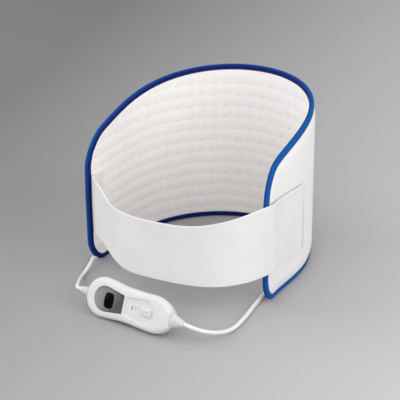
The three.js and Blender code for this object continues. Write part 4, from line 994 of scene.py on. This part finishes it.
def strap_place(along, up):
    """Points of the webbing's middle layer, at shares along it and up it."""
    run = along * STRAP_LENGTH
    low, high = on_line(strap_low, run), on_line(strap_high, run)
    out = facing_out(on_line(strap_low, run + MM) - on_line(strap_low, run - MM))
    bend = np.exp(-((along - BEND_PLACE) / BEND_REACH) ** 2) * ease(up * 6) * ease((1 - up) * 6)
    folds = np.sin(along * 330 + 5 * np.sin(up * 9)) * np.sin(up * 21 + 3 * np.sin(along * 120))
    sag = SAG * np.sin(along * 23) * np.sin(up * np.pi) * ease((0.7 - along) * 8)
    return low + (high - low) * up[:, None] + out * (CRINKLE * bend * folds + sag)[:, None]


strap = cloth_grid("front_strap_webbing", 340, 44, strap_place)
finish_modifier(strap, "SOLIDIFY", thickness=WEBBING_THICKNESS, offset=0)
soften(strap, 0.8 * MM, 3, 60)
smooth(strap, 60)
print("strap", len(strap.data.polygons), "faces")

# %% [markdown]
# Webbing shows fine ribs along its length and an uneven weave. The ribs come from the sheet's own
# UV map, so they follow every bend. A thin grey line of painted shadow runs along its cut end,
# strongest low down, and the same map tells the finish where the end is.

# %% Strap finish
WEBBING_RIBS = 46
webbing = Finish("strap_webbing", srgb(233, 231, 230), 0.8, Sheen_Weight=0.2, Sheen_Roughness=0.5)
threads = webbing.noise(520, 4, stretch=(1, 1, 2.2))
ribs = (webbing.uv("Y") * (2 * math.pi * WEBBING_RIBS)).sine()
base_tone = webbing.mix(webbing.noise(14, 3).limit(0.3, 0.7) * 0.5 + threads * 0.2,
                    srgb(228, 226, 225), srgb(219, 217, 215))
# Painted shadow: a thin grey line along the free end, where it stands off the wing, strongest low down.
painted_shadow_band = webbing.uv("X").limit(1 - 3.5 * MM / STRAP_LENGTH, 1 - 1.5 * MM / STRAP_LENGTH)
painted_end_shadow = painted_shadow_band * (1 - webbing.uv("Y").limit(0.3, 0.9) * 0.6) * 0.75
webbing.set(
    Base_Color=webbing.mix(painted_end_shadow, base_tone, srgb(128, 126, 126)),
    Roughness=0.74 + threads * 0.14,
    Normal=webbing.bump(threads + ribs * 0.12, 0.0004, 0.5),
)
wear(strap, webbing, None)
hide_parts("front_strap", "strap_tab")
peel = Vector(on_pad(PEEL_PLACE, 0.1, TAB_DEPTH))
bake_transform(strap)


# %% Seams of the strap
def strap_row(name, along, up):
    """Stitches on the strap's free end, at shares along it and up it."""
    here = strap_place(along, up)
    ahead = strap_place(along, up + 0.002) if along[0] == along[-1] else strap_place(along + 0.0005, up)
    out = facing_out(strap_place(along + 0.002, up) - strap_place(along - 0.002, up))
    seam(name, here + out * WEBBING_THICKNESS * 0.5, ahead - here, out, SEWN_STITCH, 0.5 * MM,
         white_thread, "strap_end")


up = np.linspace(0.03, 0.97, 27)
strap_row("strap_end_seam", np.full(27, 1 - 5 * MM / STRAP_LENGTH), up)
hook_run = np.linspace(1 - 78 * MM / STRAP_LENGTH, 1 - 6 * MM / STRAP_LENGTH, 21)
for edge, height in (("low", 0.14), ("high", 0.94)):
    strap_row("strap_patch_seam_" + edge, hook_run, np.full(21, height))

# %% [markdown]
# Under the free end lie two patches: stiff hooks on the strap and soft loops on the wing. Real
# hooks by the thousand would weigh the file down for a face that is mostly covered. So both are
# thin sheets with a rough face and a flat rim, where they are sewn on.


# %% Hook and loop patches
def patch(name, start, end, inside, wall, rough):
    """A patch of tape on the right wing, its face rough all over but for a flat rim."""
    def place(along, up):
        s = start + (end - start) * along
        z = PATCH_LOW + (PATCH_HIGH - PATCH_LOW) * up
        tufts = np.sin(s / (0.9 * MM)) * np.sin(z / (0.9 * MM))
        grain = tufts + 0.6 * np.sin(s / (2.3 * MM) + z / (1.7 * MM))
        edge = ease(np.minimum(np.minimum(along, 1 - along) * 60, np.minimum(up, 1 - up) * 50))
        return on_pad(s, z, inside + wall * (0.45 + 0.35 * edge) + rough * grain * edge)

    piece = cloth_grid(name, 150, 110, place)
    finish_modifier(piece, "SOLIDIFY", thickness=wall * 0.5, offset=-1)
    smooth(piece, 60)
    return piece


HOOK_LENGTH = 74 * MM
HOOK_START = TAB_END + 6 * MM
loop_patch = patch("loop_patch_pile", LOOP_END - LOOP_LENGTH, LOOP_END,
                   inside=3.65 * MM, wall=1.2 * MM, rough=0.14 * MM)
hook_patch = patch("hook_patch_hooks", HOOK_START, HOOK_START + HOOK_LENGTH,
                   inside=5.15 * MM, wall=1.0 * MM, rough=0.1 * MM)
pile_cloth = two_tone("loop_pile", srgb(234, 232, 231), srgb(217, 215, 213), 0.95,
                      grain=(900, 5), relief=(0.0008, 0.9), Sheen_Weight=0.4, Sheen_Roughness=0.4)
hooks_nylon = Finish("hook_nylon", srgb(226, 226, 226), 0.55)
hooks = hooks_nylon.node("TexVoronoi", Vector=hooks_nylon.coords(), Scale=700)
hooks_nylon.set(Base_Color=hooks_nylon.mix(hooks.limit(0.1, 0.5), srgb(232, 232, 232), srgb(206, 206, 206)),
                Normal=hooks_nylon.bump(hooks, 0.0008, 0.8))
wear(loop_patch, pile_cloth)
wear(hook_patch, hooks_nylon, "strap_end")
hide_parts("loop_patch")
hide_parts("hook_patch")
print("patches", round(LOOP_LENGTH / MM), "and", round(HOOK_LENGTH / MM), "mm long")

# %% [markdown]
# The controller's case is two moulded shells that meet in a parting line. A bevelled extrusion
# would have upright walls, while a moulded wall leans a little to come out of its mould. So each
# shell is drawn through the case's outline, repeated with a growing inset: steep at first for the
# wall, then over the round of the edge, and nearly level for the slight crown of the face. Cutters
# grow from a flat face.


# %% Case helpers
def even_ring(points, count):
    """The same closed line with its points evenly spaced."""
    points = np.vstack([points, points[:1]])
    run = np.concatenate([[0], np.cumsum(np.hypot(*np.diff(points, axis=0).T))])
    places = np.linspace(0, run[-1], count, endpoint=False)
    return np.stack([np.interp(places, run, points[:, i]) for i in range(2)], 1)


def outlined_face(name, ring, height):
    """A flat face with the given outline, looking up."""
    piece = new_piece(name, bpy.ops.mesh.primitive_circle_add, vertices=len(ring), fill_type="NGON")
    move_points(piece, np.column_stack([ring, np.full(len(ring), height)]))
    return piece


def grow(piece, steps):
    """Grows a face in steps, each a rise with an inset. A rise without an inset is a wall."""
    pick(piece)
    bpy.ops.object.mode_set(mode="EDIT")
    bpy.ops.mesh.select_mode(type="FACE")
    bpy.ops.mesh.select_all(action="SELECT")
    for rise, inset in steps:
        if inset:
            bpy.ops.mesh.inset(thickness=inset, depth=0)
            bpy.ops.transform.translate(value=(0, 0, rise))
        else:
            bpy.ops.mesh.extrude_region_move(TRANSFORM_OT_translate={"value": (0, 0, rise)})
    bpy.ops.object.mode_set(mode="OBJECT")
    close_up(piece)
    return piece


# %% Moulded shells
def lofted(name, rings):
    """A closed piece drawn through rings of equal count, each a flat outline and its height."""
    count, last = len(rings[0][0]), len(rings) - 1
    loops = np.array([[(*point, height) for point in (*ring, ring[0])] for ring, height in rings])

    def place(along, across):
        return loops[np.round(across * last).astype(int), np.round(along * count).astype(int)]

    piece = cloth_grid(name, count, last, place)
    close_up(piece)
    return piece


def carve(piece, *cutters):
    """Cuts other pieces out of a piece, and removes them."""
    for cutter in cutters:
        finish_modifier(piece, "BOOLEAN", object=cutter, operation="DIFFERENCE", solver="EXACT")
        bpy.data.objects.remove(cutter)


def set_down(piece, finish, body="belt"):
    """Lays a piece that was made flat where the controller lies."""
    piece.data.transform(controller_place)
    return wear(piece, finish, body)


def settle_shading(piece, degrees):
    """Smooths a moulded shell, so that its level faces stay even beside cuts and rounds."""
    smooth(piece, degrees)
    finish_modifier(piece, "WEIGHTED_NORMAL", weight=100, keep_sharp=True)


# %% Case outline
WAIST = 23.9 * MM
SHOULDER = 25 * MM
END_HALF_WIDTH = 10.8 * MM
HEAD_CENTRE = HEAD_RADIUS - CASE_RIGHT
SHOULDER_PLACE = CASE_RIGHT - 28 * MM
WAIST_PLACE = (HEAD_CENTRE + SHOULDER_PLACE) / 2


def case_ring(inset=0.0, count=150):
    """The case's outline, from the mains end round over the upper flank, the head and back."""
    share = np.linspace(0, 1, 30)[:, None]
    right, start = CASE_RIGHT - inset, SHOULDER_PLACE - 0.8 * inset
    end = max(END_HALF_WIDTH - 0.6 * inset, 1.5 * MM)
    head, waist, shoulder = HEAD_RADIUS - inset, WAIST - inset, SHOULDER - inset
    corners = np.array([(right, end), (right - 4 * MM, (end + shoulder) / 2),
                        (right - 14 * MM, shoulder), (start, shoulder)])
    rest = 1 - share
    weights = np.hstack([rest ** 3, 3 * rest ** 2 * share, 3 * rest * share ** 2, share ** 3])
    u = np.linspace(start, HEAD_CENTRE, 60)[1:-1]
    to_right = u > WAIST_PLACE
    away = np.abs(u - WAIST_PLACE) / np.where(to_right, start - WAIST_PLACE, WAIST_PLACE - HEAD_CENTRE)
    flank = np.column_stack([u, waist + (np.where(to_right, shoulder, head) - waist) * ease(away)])
    angle = np.linspace(np.pi / 2, 1.5 * np.pi, 60)
    left = np.column_stack([HEAD_CENTRE + head * np.cos(angle), head * np.sin(angle)])
    upper = np.vstack([weights @ corners, flank])
    return even_ring(np.vstack([upper, left, upper[::-1] * (1, -1)]), count)


print("case", np.round(np.ptp(case_ring(), axis=0) / MM, 1), "mm")

# %% [markdown]
# The case is white moulded plastic: satin, with a very fine grain from the mould, and slightly
# uneven where hands hold it. The knob, the boots and the plug are moulded in the same plastic and
# share the finish.

# %% Case finish
case_plastic = Finish("case_plastic", srgb(228, 226, 224), 0.32, Specular_IOR_Level=0.45)
grain = case_plastic.noise(1400, 2)
handling = case_plastic.noise(35, 4)
case_plastic.set(
    Base_Color=case_plastic.mix(handling.limit(0.4, 0.8) * 0.4, srgb(216, 214, 212), srgb(210, 208, 205)),
    Roughness=0.28 + handling * 0.14,
    Normal=case_plastic.bump(grain, 0.00004, 0.5),
)
print("case finish,", len(case_plastic.tree.nodes), "nodes")

# %% Lower case
UPPER_DEPTH = 9 * MM
LOWER_DEPTH = 19 * MM
LOWER_STEPS = [(0, 0.15), (1.7, 4.7), (3.4, 9.4), (5.06, 14.06), (5.9, 15.7), (7, 17), (8.4, 18),
               (10.2, 18.65), (12.5, 18.95), (17, LOWER_DEPTH / MM)]
SCREW_ALONG = 47 * MM
SCREW_ACROSS = 13 * MM
lower_case = lofted("lower_case_shell",
                    [(case_ring(inset * MM), -depth * MM) for inset, depth in LOWER_STEPS])
wells = [new_piece("screw_well", bpy.ops.mesh.primitive_cylinder_add, vertices=40, radius=3 * MM,
                   depth=6 * MM, location=(x * SCREW_ALONG, y * SCREW_ACROSS, -19.6 * MM))
         for x in (-1, 1) for y in (-1, 1)]
carve(lower_case, *wells)
soften(lower_case, 0.25 * MM, 2, 50)
settle_shading(lower_case, 40)
set_down(lower_case, case_plastic)
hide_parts("lower_case")
print("lower case", len(lower_case.data.polygons), "faces")

# %% [markdown]
# The upper shell gets its pockets by boolean cuts: the D-shaped seat of the display, the shallow
# recess of the switch, which narrows towards the display, and the groove that its stem runs in. The
# recess's cutter is rounded towards its floor, so that the pocket's walls catch the light as a soft
# band.

# %% Display outline
PANEL_LEFT = 16.5 * MM - CASE_RIGHT
PANEL_RADIUS = 17 * MM
PANEL_RIGHT = PANEL_LEFT + 49 * MM
PANEL_END_HALF_WIDTH = 12.7 * MM
DISH_STEPS = 120


def panel_ring(count, grow_by=0.0):
    """The display panel's D: a half circle on the left, a straight end on the right."""
    centre = PANEL_LEFT + PANEL_RADIUS
    radius = PANEL_RADIUS + grow_by
    angle = np.linspace(np.pi / 2, 1.5 * np.pi, 60)
    half_round = np.column_stack([centre + radius * np.cos(angle), radius * np.sin(angle)])
    right, half = PANEL_RIGHT + grow_by, PANEL_END_HALF_WIDTH + grow_by
    corner = np.linspace(0, np.pi / 2, 8)[:, None]
    soft = 1.6 * MM
    top = np.hstack([right - soft + soft * np.cos(corner), half - soft + soft * np.sin(corner)])
    lead_in = np.array([(centre + 4 * MM, radius)])
    side = np.vstack([top, lead_in])
    return even_ring(np.vstack([side, half_round, side[::-1] * (1, -1)]), count)


print("display", np.round(np.ptp(panel_ring(DISH_STEPS), axis=0) / MM, 1), "mm")

# %% Upper case
RECESS_LEFT = PANEL_RIGHT + 2.2 * MM
RECESS_RIGHT = RECESS_LEFT + 47.4 * MM
RECESS_HALF_WIDTH = 15.5 * MM
RECESS_NEAR_HALF_WIDTH = 11.4 * MM
RECESS_LOW = MM
RECESS_FLOOR = UPPER_DEPTH - 1.2 * MM
KNOB_PLACE = RECESS_RIGHT - 10.6 * MM
SWITCH_TRAVEL = 16 * MM


def recess_ring(inset, count=110):
    """The recess's outline: square and narrow on the display's side, wide and round on the other."""
    spread = 1.6 * MM - inset
    half, near_half = RECESS_HALF_WIDTH + spread, RECESS_NEAR_HALF_WIDTH + spread
    left, right = RECESS_LEFT + inset, RECESS_RIGHT + spread
    angle = np.linspace(-np.pi / 2, np.pi / 2, 40)
    deep = RECESS_HALF_WIDTH - inset / 2
    far = np.column_stack([right - deep + deep * np.cos(angle), half * np.sin(angle)])
    turn, soft = np.linspace(np.pi / 2, np.pi, 8), 3 * MM
    near = np.column_stack([left + soft * (1 + np.cos(turn)), near_half - soft * (1 - np.sin(turn))])
    return even_ring(np.vstack([far, near, near[::-1] * (1, -1)]) - (0, RECESS_LOW), count)


UPPER_STEPS = [(0, 0.15), (0.08, 2.5), (0.44, 4.5), (1.1, 6), (1.95, 7.1), (2.95, 7.9), (4.05, 8.45),
               (5.25, 8.8), (7, 9.0), (9.5, 9.12), (13, 9.2), (17, 9.24), (20, 9.25)]
RECESS_STEPS = [(-0.4, -1.4), (0, 0), (0.2, 0.45), (0.55, 0.8), (1.05, 1.05), (1.5, 1.15), (1.9, 1.2)]
upper_case = lofted("upper_case_shell",
                    [(case_ring(inset * MM), height * MM) for inset, height in UPPER_STEPS])
seat = grow(outlined_face("panel_seat", panel_ring(DISH_STEPS, 0.25 * MM), 5 * MM), [(8 * MM, 0)])
recess = lofted("switch_recess",
                [(recess_ring(inset * MM), UPPER_DEPTH - depth * MM) for inset, depth in RECESS_STEPS])
groove = new_piece("switch_groove", bpy.ops.mesh.primitive_cube_add, size=1,
                   location=(KNOB_PLACE - SWITCH_TRAVEL / 2, 0, RECESS_FLOOR + 1.2 * MM),
                   scale=(SWITCH_TRAVEL + 6 * MM, 4.6 * MM, 4 * MM))
carve(upper_case, seat, recess, groove)
settle_shading(upper_case, 28)
set_down(upper_case, case_plastic)
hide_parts("upper_case")
print("upper case", len(upper_case.data.polygons), "faces")

# %% [markdown]
# The display panel is a grey dish: its wall slopes down gently from the round end and steeply at
# the straight one, to a flat plate that carries the black window. An inset face would slope the
# same all round, so the dish is a ring of cloth-like rows drawn from the rim to the middle. Its
# grey is painted paler towards the round end, a painted highlight where the slope faces the light.

# %% Display panel
PANEL_TOP = UPPER_DEPTH + 0.1 * MM
DISH_DEPTH = 3.4 * MM
WALL_SHARE = 0.65
LIGHT_FROM, LIGHT_REACH, LIGHT_LEAN = -15 * MM, 43 * MM, 0.55
dish_rim = panel_ring(DISH_STEPS)
dish_rim = np.vstack([dish_rim, dish_rim[:1]])
plate_hub = np.array((PANEL_RIGHT - 2 * MM, 0))
plate_edge = plate_hub + (dish_rim - plate_hub) * (0.66, 0.84)
plate_middle = plate_edge.mean(axis=0)


def dish_place(around, inwards):
    """Points of the dish: round its rim, and inwards down the wall and over the plate."""
    at = np.round(around * DISH_STEPS).astype(int)
    down = np.clip(inwards / WALL_SHARE, 0, 1)
    point = dish_rim[at] + (plate_edge[at] - dish_rim[at]) * (down ** 1.3)[:, None]
    to_middle = np.clip((inwards - WALL_SHARE) / (1 - WALL_SHARE), 0, 1)[:, None]
    point = point + (plate_middle - point) * to_middle
    return np.column_stack([point, PANEL_TOP - DISH_DEPTH * np.sin(down * np.pi / 2) ** 0.9])


panel = cloth_grid("display_panel_dish", DISH_STEPS, 20, dish_place)
close_up(panel, fill=False, outwards=False)
# Painted highlight: a share that grows towards the round end and pales the grey there.
painted_light_wall = panel.data.attributes.new("painted_light_wall", "FLOAT", "POINT")
made = points_of(panel)
painted_highlight_share = (LIGHT_FROM - made[:, 0] + LIGHT_LEAN * made[:, 1]) / LIGHT_REACH
painted_light_wall.data.foreach_set("value", np.clip(painted_highlight_share, 0, 1).astype(np.float32))
finish_modifier(panel, "SOLIDIFY", thickness=0.9 * MM, offset=-1)
smooth(panel, 30)
panel_grey = Finish("panel_grey", srgb(120, 118, 118), 0.36, Specular_IOR_Level=0.5)
speck = panel_grey.noise(1800, 2)
plate = panel_grey.mix(speck.limit(0.35, 0.7), srgb(80, 78, 79), srgb(72, 70, 71))
# The painted highlight mixes the plate's grey towards a paler one.
panel_grey.set(Base_Color=panel_grey.mix(panel_grey.attribute("painted_light_wall"), plate, srgb(152, 150, 149)),
               Roughness=0.32 + speck * 0.1, Normal=panel_grey.bump(speck, 0.00005, 0.4))
set_down(panel, panel_grey)
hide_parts("display_panel")
print("dish", round(DISH_DEPTH / MM, 1), "mm deep")

# %% [markdown]
# The window is a low pane of black glass on the plate. It is one face with the window's outline,
# grown upwards in three steps: a wall, and two small insets that round its rim. A bevel could do
# the same, but here each step is plain to see and to change. The glass hardly mirrors the room, so
# it stays black.

# %% Display window
WINDOW_PLACE = 39.1 * MM - CASE_RIGHT
WINDOW_LENGTH = 21.5 * MM
WINDOW_WIDTH = 15.7 * MM
WINDOW_LOW = 1.6 * MM
plate_level = PANEL_TOP - DISH_DEPTH


def window_ring(count):
    """The window's outline: nearly straight long sides and rounder ends."""
    angle = np.linspace(0, 2 * np.pi, 120, endpoint=False)
    across = np.sign(np.cos(angle)) * np.abs(np.cos(angle)) ** 0.45 * WINDOW_WIDTH / 2
    along = np.sign(np.sin(angle)) * np.abs(np.sin(angle)) ** 0.75 * WINDOW_LENGTH / 2
    return even_ring(np.column_stack([WINDOW_PLACE + across, along - WINDOW_LOW]), count)


window = grow(outlined_face("display_window_glass", window_ring(64), plate_level - 0.5 * MM),
              [(0.7 * MM, 0), (0.12 * MM, 0.12 * MM), (0.06 * MM, 0.25 * MM)])
smooth(window, 30)
black_glass = two_tone("black_glass", srgb(6, 6, 8), srgb(10, 10, 12), 0.12,
                       grain=(60, 4), rough=0.12, Specular_IOR_Level=0.05)
set_down(window, black_glass)
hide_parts("display_window")
print("window", round(WINDOW_LENGTH / MM), "by", round(WINDOW_WIDTH / MM, 1), "mm")

# %% [markdown]
# The slide switch is a low block with ribs across it for the thumb. Ribs could be joined onto a
# block with booleans, but then their feet would be sharp. A fine grid takes its form directly: a
# rounded pad whose height is the block, plus three ribs that rise softly.

# %% Slide knob
KNOB_LENGTH = 17 * MM
KNOB_WIDTH = 11 * MM
KNOB_HEIGHT = 2.2 * MM
KNOB_LOW = RECESS_FLOOR + GAP
RIB_PITCH = 4.4 * MM
RIB_HEIGHT = 1.15 * MM
SADDLE_DEPTH = 0.35 * MM
END_POWER, SIDE_POWER, SHOULDER_POWER = 12, 9, 0.4


def knob_place(along, across):
    """Points of the knob's top and sides, at shares along it and across it."""
    a, b = along * 2 - 1, across * 2 - 1
    ends, sides = (np.clip(1 - np.abs(at) ** power, 0, 1) ** SHOULDER_POWER
                   for at, power in ((a, END_POWER), (b, SIDE_POWER)))
    u = a * KNOB_LENGTH / 2
    to_rib = np.abs(u - np.clip(np.round(u / RIB_PITCH), -1, 1) * RIB_PITCH)
    rib = ease(1.8 - to_rib / (0.7 * MM)) * ease((0.8 - np.abs(b)) * 12)
    saddle = SADDLE_DEPTH * (1 - a * a)
    w = KNOB_LOW + (KNOB_HEIGHT - saddle + RIB_HEIGHT * rib) * (ends * sides)
    pinch = 1 - 0.06 * a * a * b * b
    return np.column_stack([KNOB_PLACE + u * pinch, b * KNOB_WIDTH / 2 * pinch, w])


knob = cloth_grid("slide_knob_cap", 110, 48, knob_place)
close_up(knob)
smooth(knob, 50)
set_down(knob, case_plastic, "switch")
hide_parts("slide_knob")
print("knob slides", round(SWITCH_TRAVEL / MM), "mm")

# %% [markdown]
# Beside the switch the case carries small raised figures for its settings and a few ticks, moulded
# in the same plastic, and two dark dots that show which way is off. Text objects make the figures,
# and they are turned into meshes so that they can be set down with the case.


# %% Moulded marks
SETTINGS = 4
FIGURE_ROW, FIGURE_SIZE, FIGURE_HEIGHT = 10.2 * MM, 4.2 * MM, 0.3 * MM
TICK_ROW = -9.4 * MM
TICK_CORNERS = np.array([(-0.4, -1.3), (0.4, -1.3), (0.4, 1.3), (-0.4, 1.3)]) * MM


def setting_place(number):
    """How far along the case a setting of the switch is marked."""
    return (9 + 5.4 * number) * MM


def figure(name, number):
    piece = new_piece(name, bpy.ops.object.text_add)
    piece.data.body = str(number)
    piece.data.size = FIGURE_SIZE
    piece.data.extrude = FIGURE_HEIGHT
    piece.data.align_x = piece.data.align_y = "CENTER"
    bpy.ops.object.convert(target="MESH")
    piece = bpy.context.object
    place = Matrix.Translation((setting_place(number), FIGURE_ROW, RECESS_FLOOR + 0.1 * MM))
    piece.data.transform(place)
    set_down(piece, case_plastic)


def tick(name, number):
    ring = even_ring(TICK_CORNERS + (setting_place(number), TICK_ROW), 16)
    piece = grow(outlined_face(name, ring, RECESS_FLOOR - 0.1 * MM),
                 [(0.45 * MM, 0), (0.1 * MM, 0.1 * MM)])
    set_down(piece, case_plastic)


for number in range(SETTINGS):
    figure("setting_%d" % number, number)
for number in range(SETTINGS):
    tick("tick_%d" % number, number)

print(SETTINGS, "figures and as many ticks")

# %% Dots
dot_black = Finish("dot_black", srgb(46, 45, 46), 0.4)
dot_black.set(Roughness=0.34 + dot_black.noise(900, 2) * 0.12)
for number, v in enumerate((1.3 * MM, -1.3 * MM)):
    dot = new_piece("off_dot_%d" % number, bpy.ops.mesh.primitive_uv_sphere_add,
                    segments=24, ring_count=12, radius=1,
                    location=(9.6 * MM, v, RECESS_FLOOR), scale=(1.1 * MM, 1.0 * MM, 0.25 * MM))
    bpy.ops.object.transform_apply(location=True, rotation=True, scale=True)
    smooth(dot, 60)
    set_down(dot, dot_black)
print("two dots")

# %% [markdown]
# Where a cord leaves a housing, a soft boot keeps it from kinking: rings that shrink towards the
# cord, with grooves between them so that it bends. A screw modifier would turn them, but only
# round, and these are oval. So one ring is drawn and then extruded and resized again and again, as
# on a lathe.


# %% Lathe helper
def turned(name, rings, sides=56):
    """A round or oval piece along X from rings of place, half-width and half-height."""
    place, half, high = rings[0]
    piece = new_piece(name, bpy.ops.mesh.primitive_circle_add, vertices=sides, radius=1,
                      fill_type="NGON", location=(place, 0, 0), rotation=(0, math.pi / 2, 0))
    bpy.ops.object.transform_apply(location=True, rotation=True, scale=True)
    bpy.ops.object.mode_set(mode="EDIT")
    bpy.ops.mesh.select_all(action="SELECT")
    bpy.ops.transform.resize(value=(1, half, high), center_override=(place, 0, 0))
    for before, after in zip(rings, rings[1:]):
        bpy.ops.mesh.extrude_region_move(TRANSFORM_OT_translate={"value": (after[0] - before[0], 0, 0)})
        wider, higher = after[1] / before[1], after[2] / before[2]
        bpy.ops.transform.resize(value=(1, wider, higher), center_override=(after[0], 0, 0))
    bpy.ops.object.mode_set(mode="OBJECT")
    close_up(piece)
    return piece


# %% Boots
BOOT_RIB = ((0.04, 0.25), (0.14, 0), (0.5, 0), (0.6, 0.2), (0.68, 1.3), (0.96, 1.3))


def boot_rings(end, length, ribs, tip, half, high):
    """Rings of a boot on one end of the case. Each rib has cuts in millimetres along its pitch."""
    start = CASE_RIGHT + GAP
    root = half * 0.8, high * 0.8
    least = tip - 0.8 * MM
    rings = [(start - 3 * MM, *root), (start, *root)]
    pitch = length / ribs

    def size(place):
        share = place / length
        return half + (tip - half) * share ** 0.85, high + (tip - high) * share ** 0.85

    for rib in range(ribs):
        for into, cut in BOOT_RIB:
            place = (rib + into) * pitch
            a, b = size(place)
            cut = cut * MM * (0.6 if rib == ribs - 1 and into > 0.55 else 1)
            rings.append((start + place, max(a - cut, least), max(b - cut, least)))
    return [(end * place, a, b) for place, a, b in rings]


pad_boot = turned("pad_side_boot_ribbed", boot_rings(
    -1, PAD_BOOT, ribs=3, tip=PAD_LEAD_DIAMETER / 2 + 1.8 * MM, half=7 * MM, high=6.8 * MM))
mains_boot = turned("mains_side_boot_ribbed", boot_rings(
    1, MAINS_BOOT, ribs=5, tip=MAINS_DIAMETER / 2 + MM, half=10.5 * MM, high=6.6 * MM))
for boot, node in ((pad_boot, "pad_side_boot"), (mains_boot, "mains_side_boot")):
    smooth(boot, 40)
    set_down(boot, case_plastic)
    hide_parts(node)
print("boots", round(PAD_BOOT / MM), "and", round(MAINS_BOOT / MM), "mm long")

# %% [markdown]
# The gland is the small moulded elbow that brings the lead out of the pad's corner. It is a curve
# with a round bevel, like a cord, but with a radius of its own at every point, so that it bends
# and swells in one piece.

# %% Gland
gland_points = [gland_base - gland_aim * 6 * MM, gland_base, gland_base + gland_aim * 2.5 * MM,
                gland_elbow + (lead_aim - gland_aim) * 1.2 * MM, gland_elbow + lead_aim * 3 * MM,
                gland_elbow + lead_aim * 6 * MM, gland_elbow + lead_aim * GLAND_NOZZLE]
gland_radii = [2.9, 2.9, 3.0, 3.1, 3.0, 2.85, 2.7]
gland_line = smooth_line(gland_points, 6)
gland = cord_piece("inlet_gland_elbow", gland_line, 2)
places = np.linspace(0, len(gland_radii) - 1, len(gland_line))
for point, radius in zip(gland.data.splines[0].points,
                         np.interp(places, range(len(gland_radii)), gland_radii)):
    point.radius = radius * MM
wear(gland, sheath)
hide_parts("inlet_gland")
print("gland", round(line_length(gland_line) / MM), "mm long")

# %% [markdown]
# The plug at the far end is a flat two-pin one: a body that swells towards the pins and a ribbed
# tail for the cord. The same lathe-like way makes both, lying flat, before they are set down.

# %% Plug
PLUG_SHAPE = [(36, 12.6, 5.4), (35.4, 13.9, 6.1), (34, 15.2, 6.6), (30, 16, 6.8), (24, 16.5, 6.85),
              (19, 15.9, 6.85), (14.4, 14.2, 6.8), (10, 11.4, 6.6), (5.4, 9.1, 6.3), (2, 7.6, 5.8),
              (0.4, 6.9, 5.4), (0, 6.3, 5)]
TAIL_RIB = ((0.1, 0), (0.55, 0), (0.64, 0.8), (0.98, 0.8))
TAIL_RIBS, TAIL_PITCH = 4, 5.5
tail_shape = [(1, 4.6, 4.6)]
for rib in range(TAIL_RIBS):
    size = 5.1 - 0.32 * rib
    for into, cut in TAIL_RIB:
        tail_shape.append((-(rib + into) * TAIL_PITCH, size - cut, size - cut))
plug_body, plug_tail = (
    turned(name, [(x * MM, a * MM, b * MM) for x, a, b in shape])
    for name, shape in (("plug_body_moulded", PLUG_SHAPE), ("plug_tail_ribbed", tail_shape)))
for piece in (plug_body, plug_tail):
    smooth(piece, 40)
    piece.data.transform(plug_place)
    wear(piece, case_plastic)
    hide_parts("plug_body")
print("plug", round(PLUG_SHAPE[0][0] + PLUG_TAIL / MM), "mm without its pins")

# %% [markdown]
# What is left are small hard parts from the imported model: screws, pins, the board inside the case
# and the parts that it carries. They are tiny or out of sight, so they keep their shape and only
# get a finish each.

# %% Small parts
steel = two_tone("steel", srgb(190, 192, 194), srgb(168, 170, 173), 0.22,
                 grain=(700, 3, (1, 6, 1)), rough=0.2, Metallic=1.0)
dark = two_tone("dark_plastic", srgb(46, 46, 48), srgb(36, 36, 38), 0.42, grain=(900, 3), rough=0.16)
sleeve = two_tone("wire_sleeve", srgb(190, 106, 62), srgb(164, 88, 48), 0.5,
                  grain=(1500, 3), relief=(0.0002, 0.6))
grey = two_tone("grey_plastic", srgb(116, 113, 113), srgb(104, 101, 101), 0.4, grain=(300, 3))
grey.set(Roughness=0.4 + grey.noise(900, 3) * 0.15)
board_green = Finish("board_green", srgb(47, 107, 63), 0.45)
tracks = board_green.node("TexBrick", out="Fac", Vector=board_green.coords(), Scale=160)
board_green.set(Base_Color=board_green.mix(tracks, srgb(44, 104, 60), srgb(70, 134, 84)),
                Roughness=0.38 + board_green.noise(500, 2) * 0.14)
SMALL_PARTS = (
    (sleeve, ["heating_wire"]),
    (dark, ["wire_joint_block", "thermal_cutout_left", "thermal_cutout_right", "switch_body",
            "digit_display", "triac", "coil_tie"]),
    (board_green, ["circuit_board"]),
    (grey, ["capacitor", "cord_clamp_pad_side", "cord_clamp_mains_side"]),
    (steel, ["fuse", "plug_pin_1", "plug_pin_2",
             "case_screw_1", "case_screw_2", "case_screw_3", "case_screw_4"]),
)
for finish, names in SMALL_PARTS:
    for name in names:
        nodes[name].data.materials.clear()
        nodes[name].data.materials.append(finish.material)
    print(finish.material.name, len(names))

# %% [markdown]
# Last, the mains lead's length is worked out once more.

# %% Mains lead's length
line_length(mains_line)
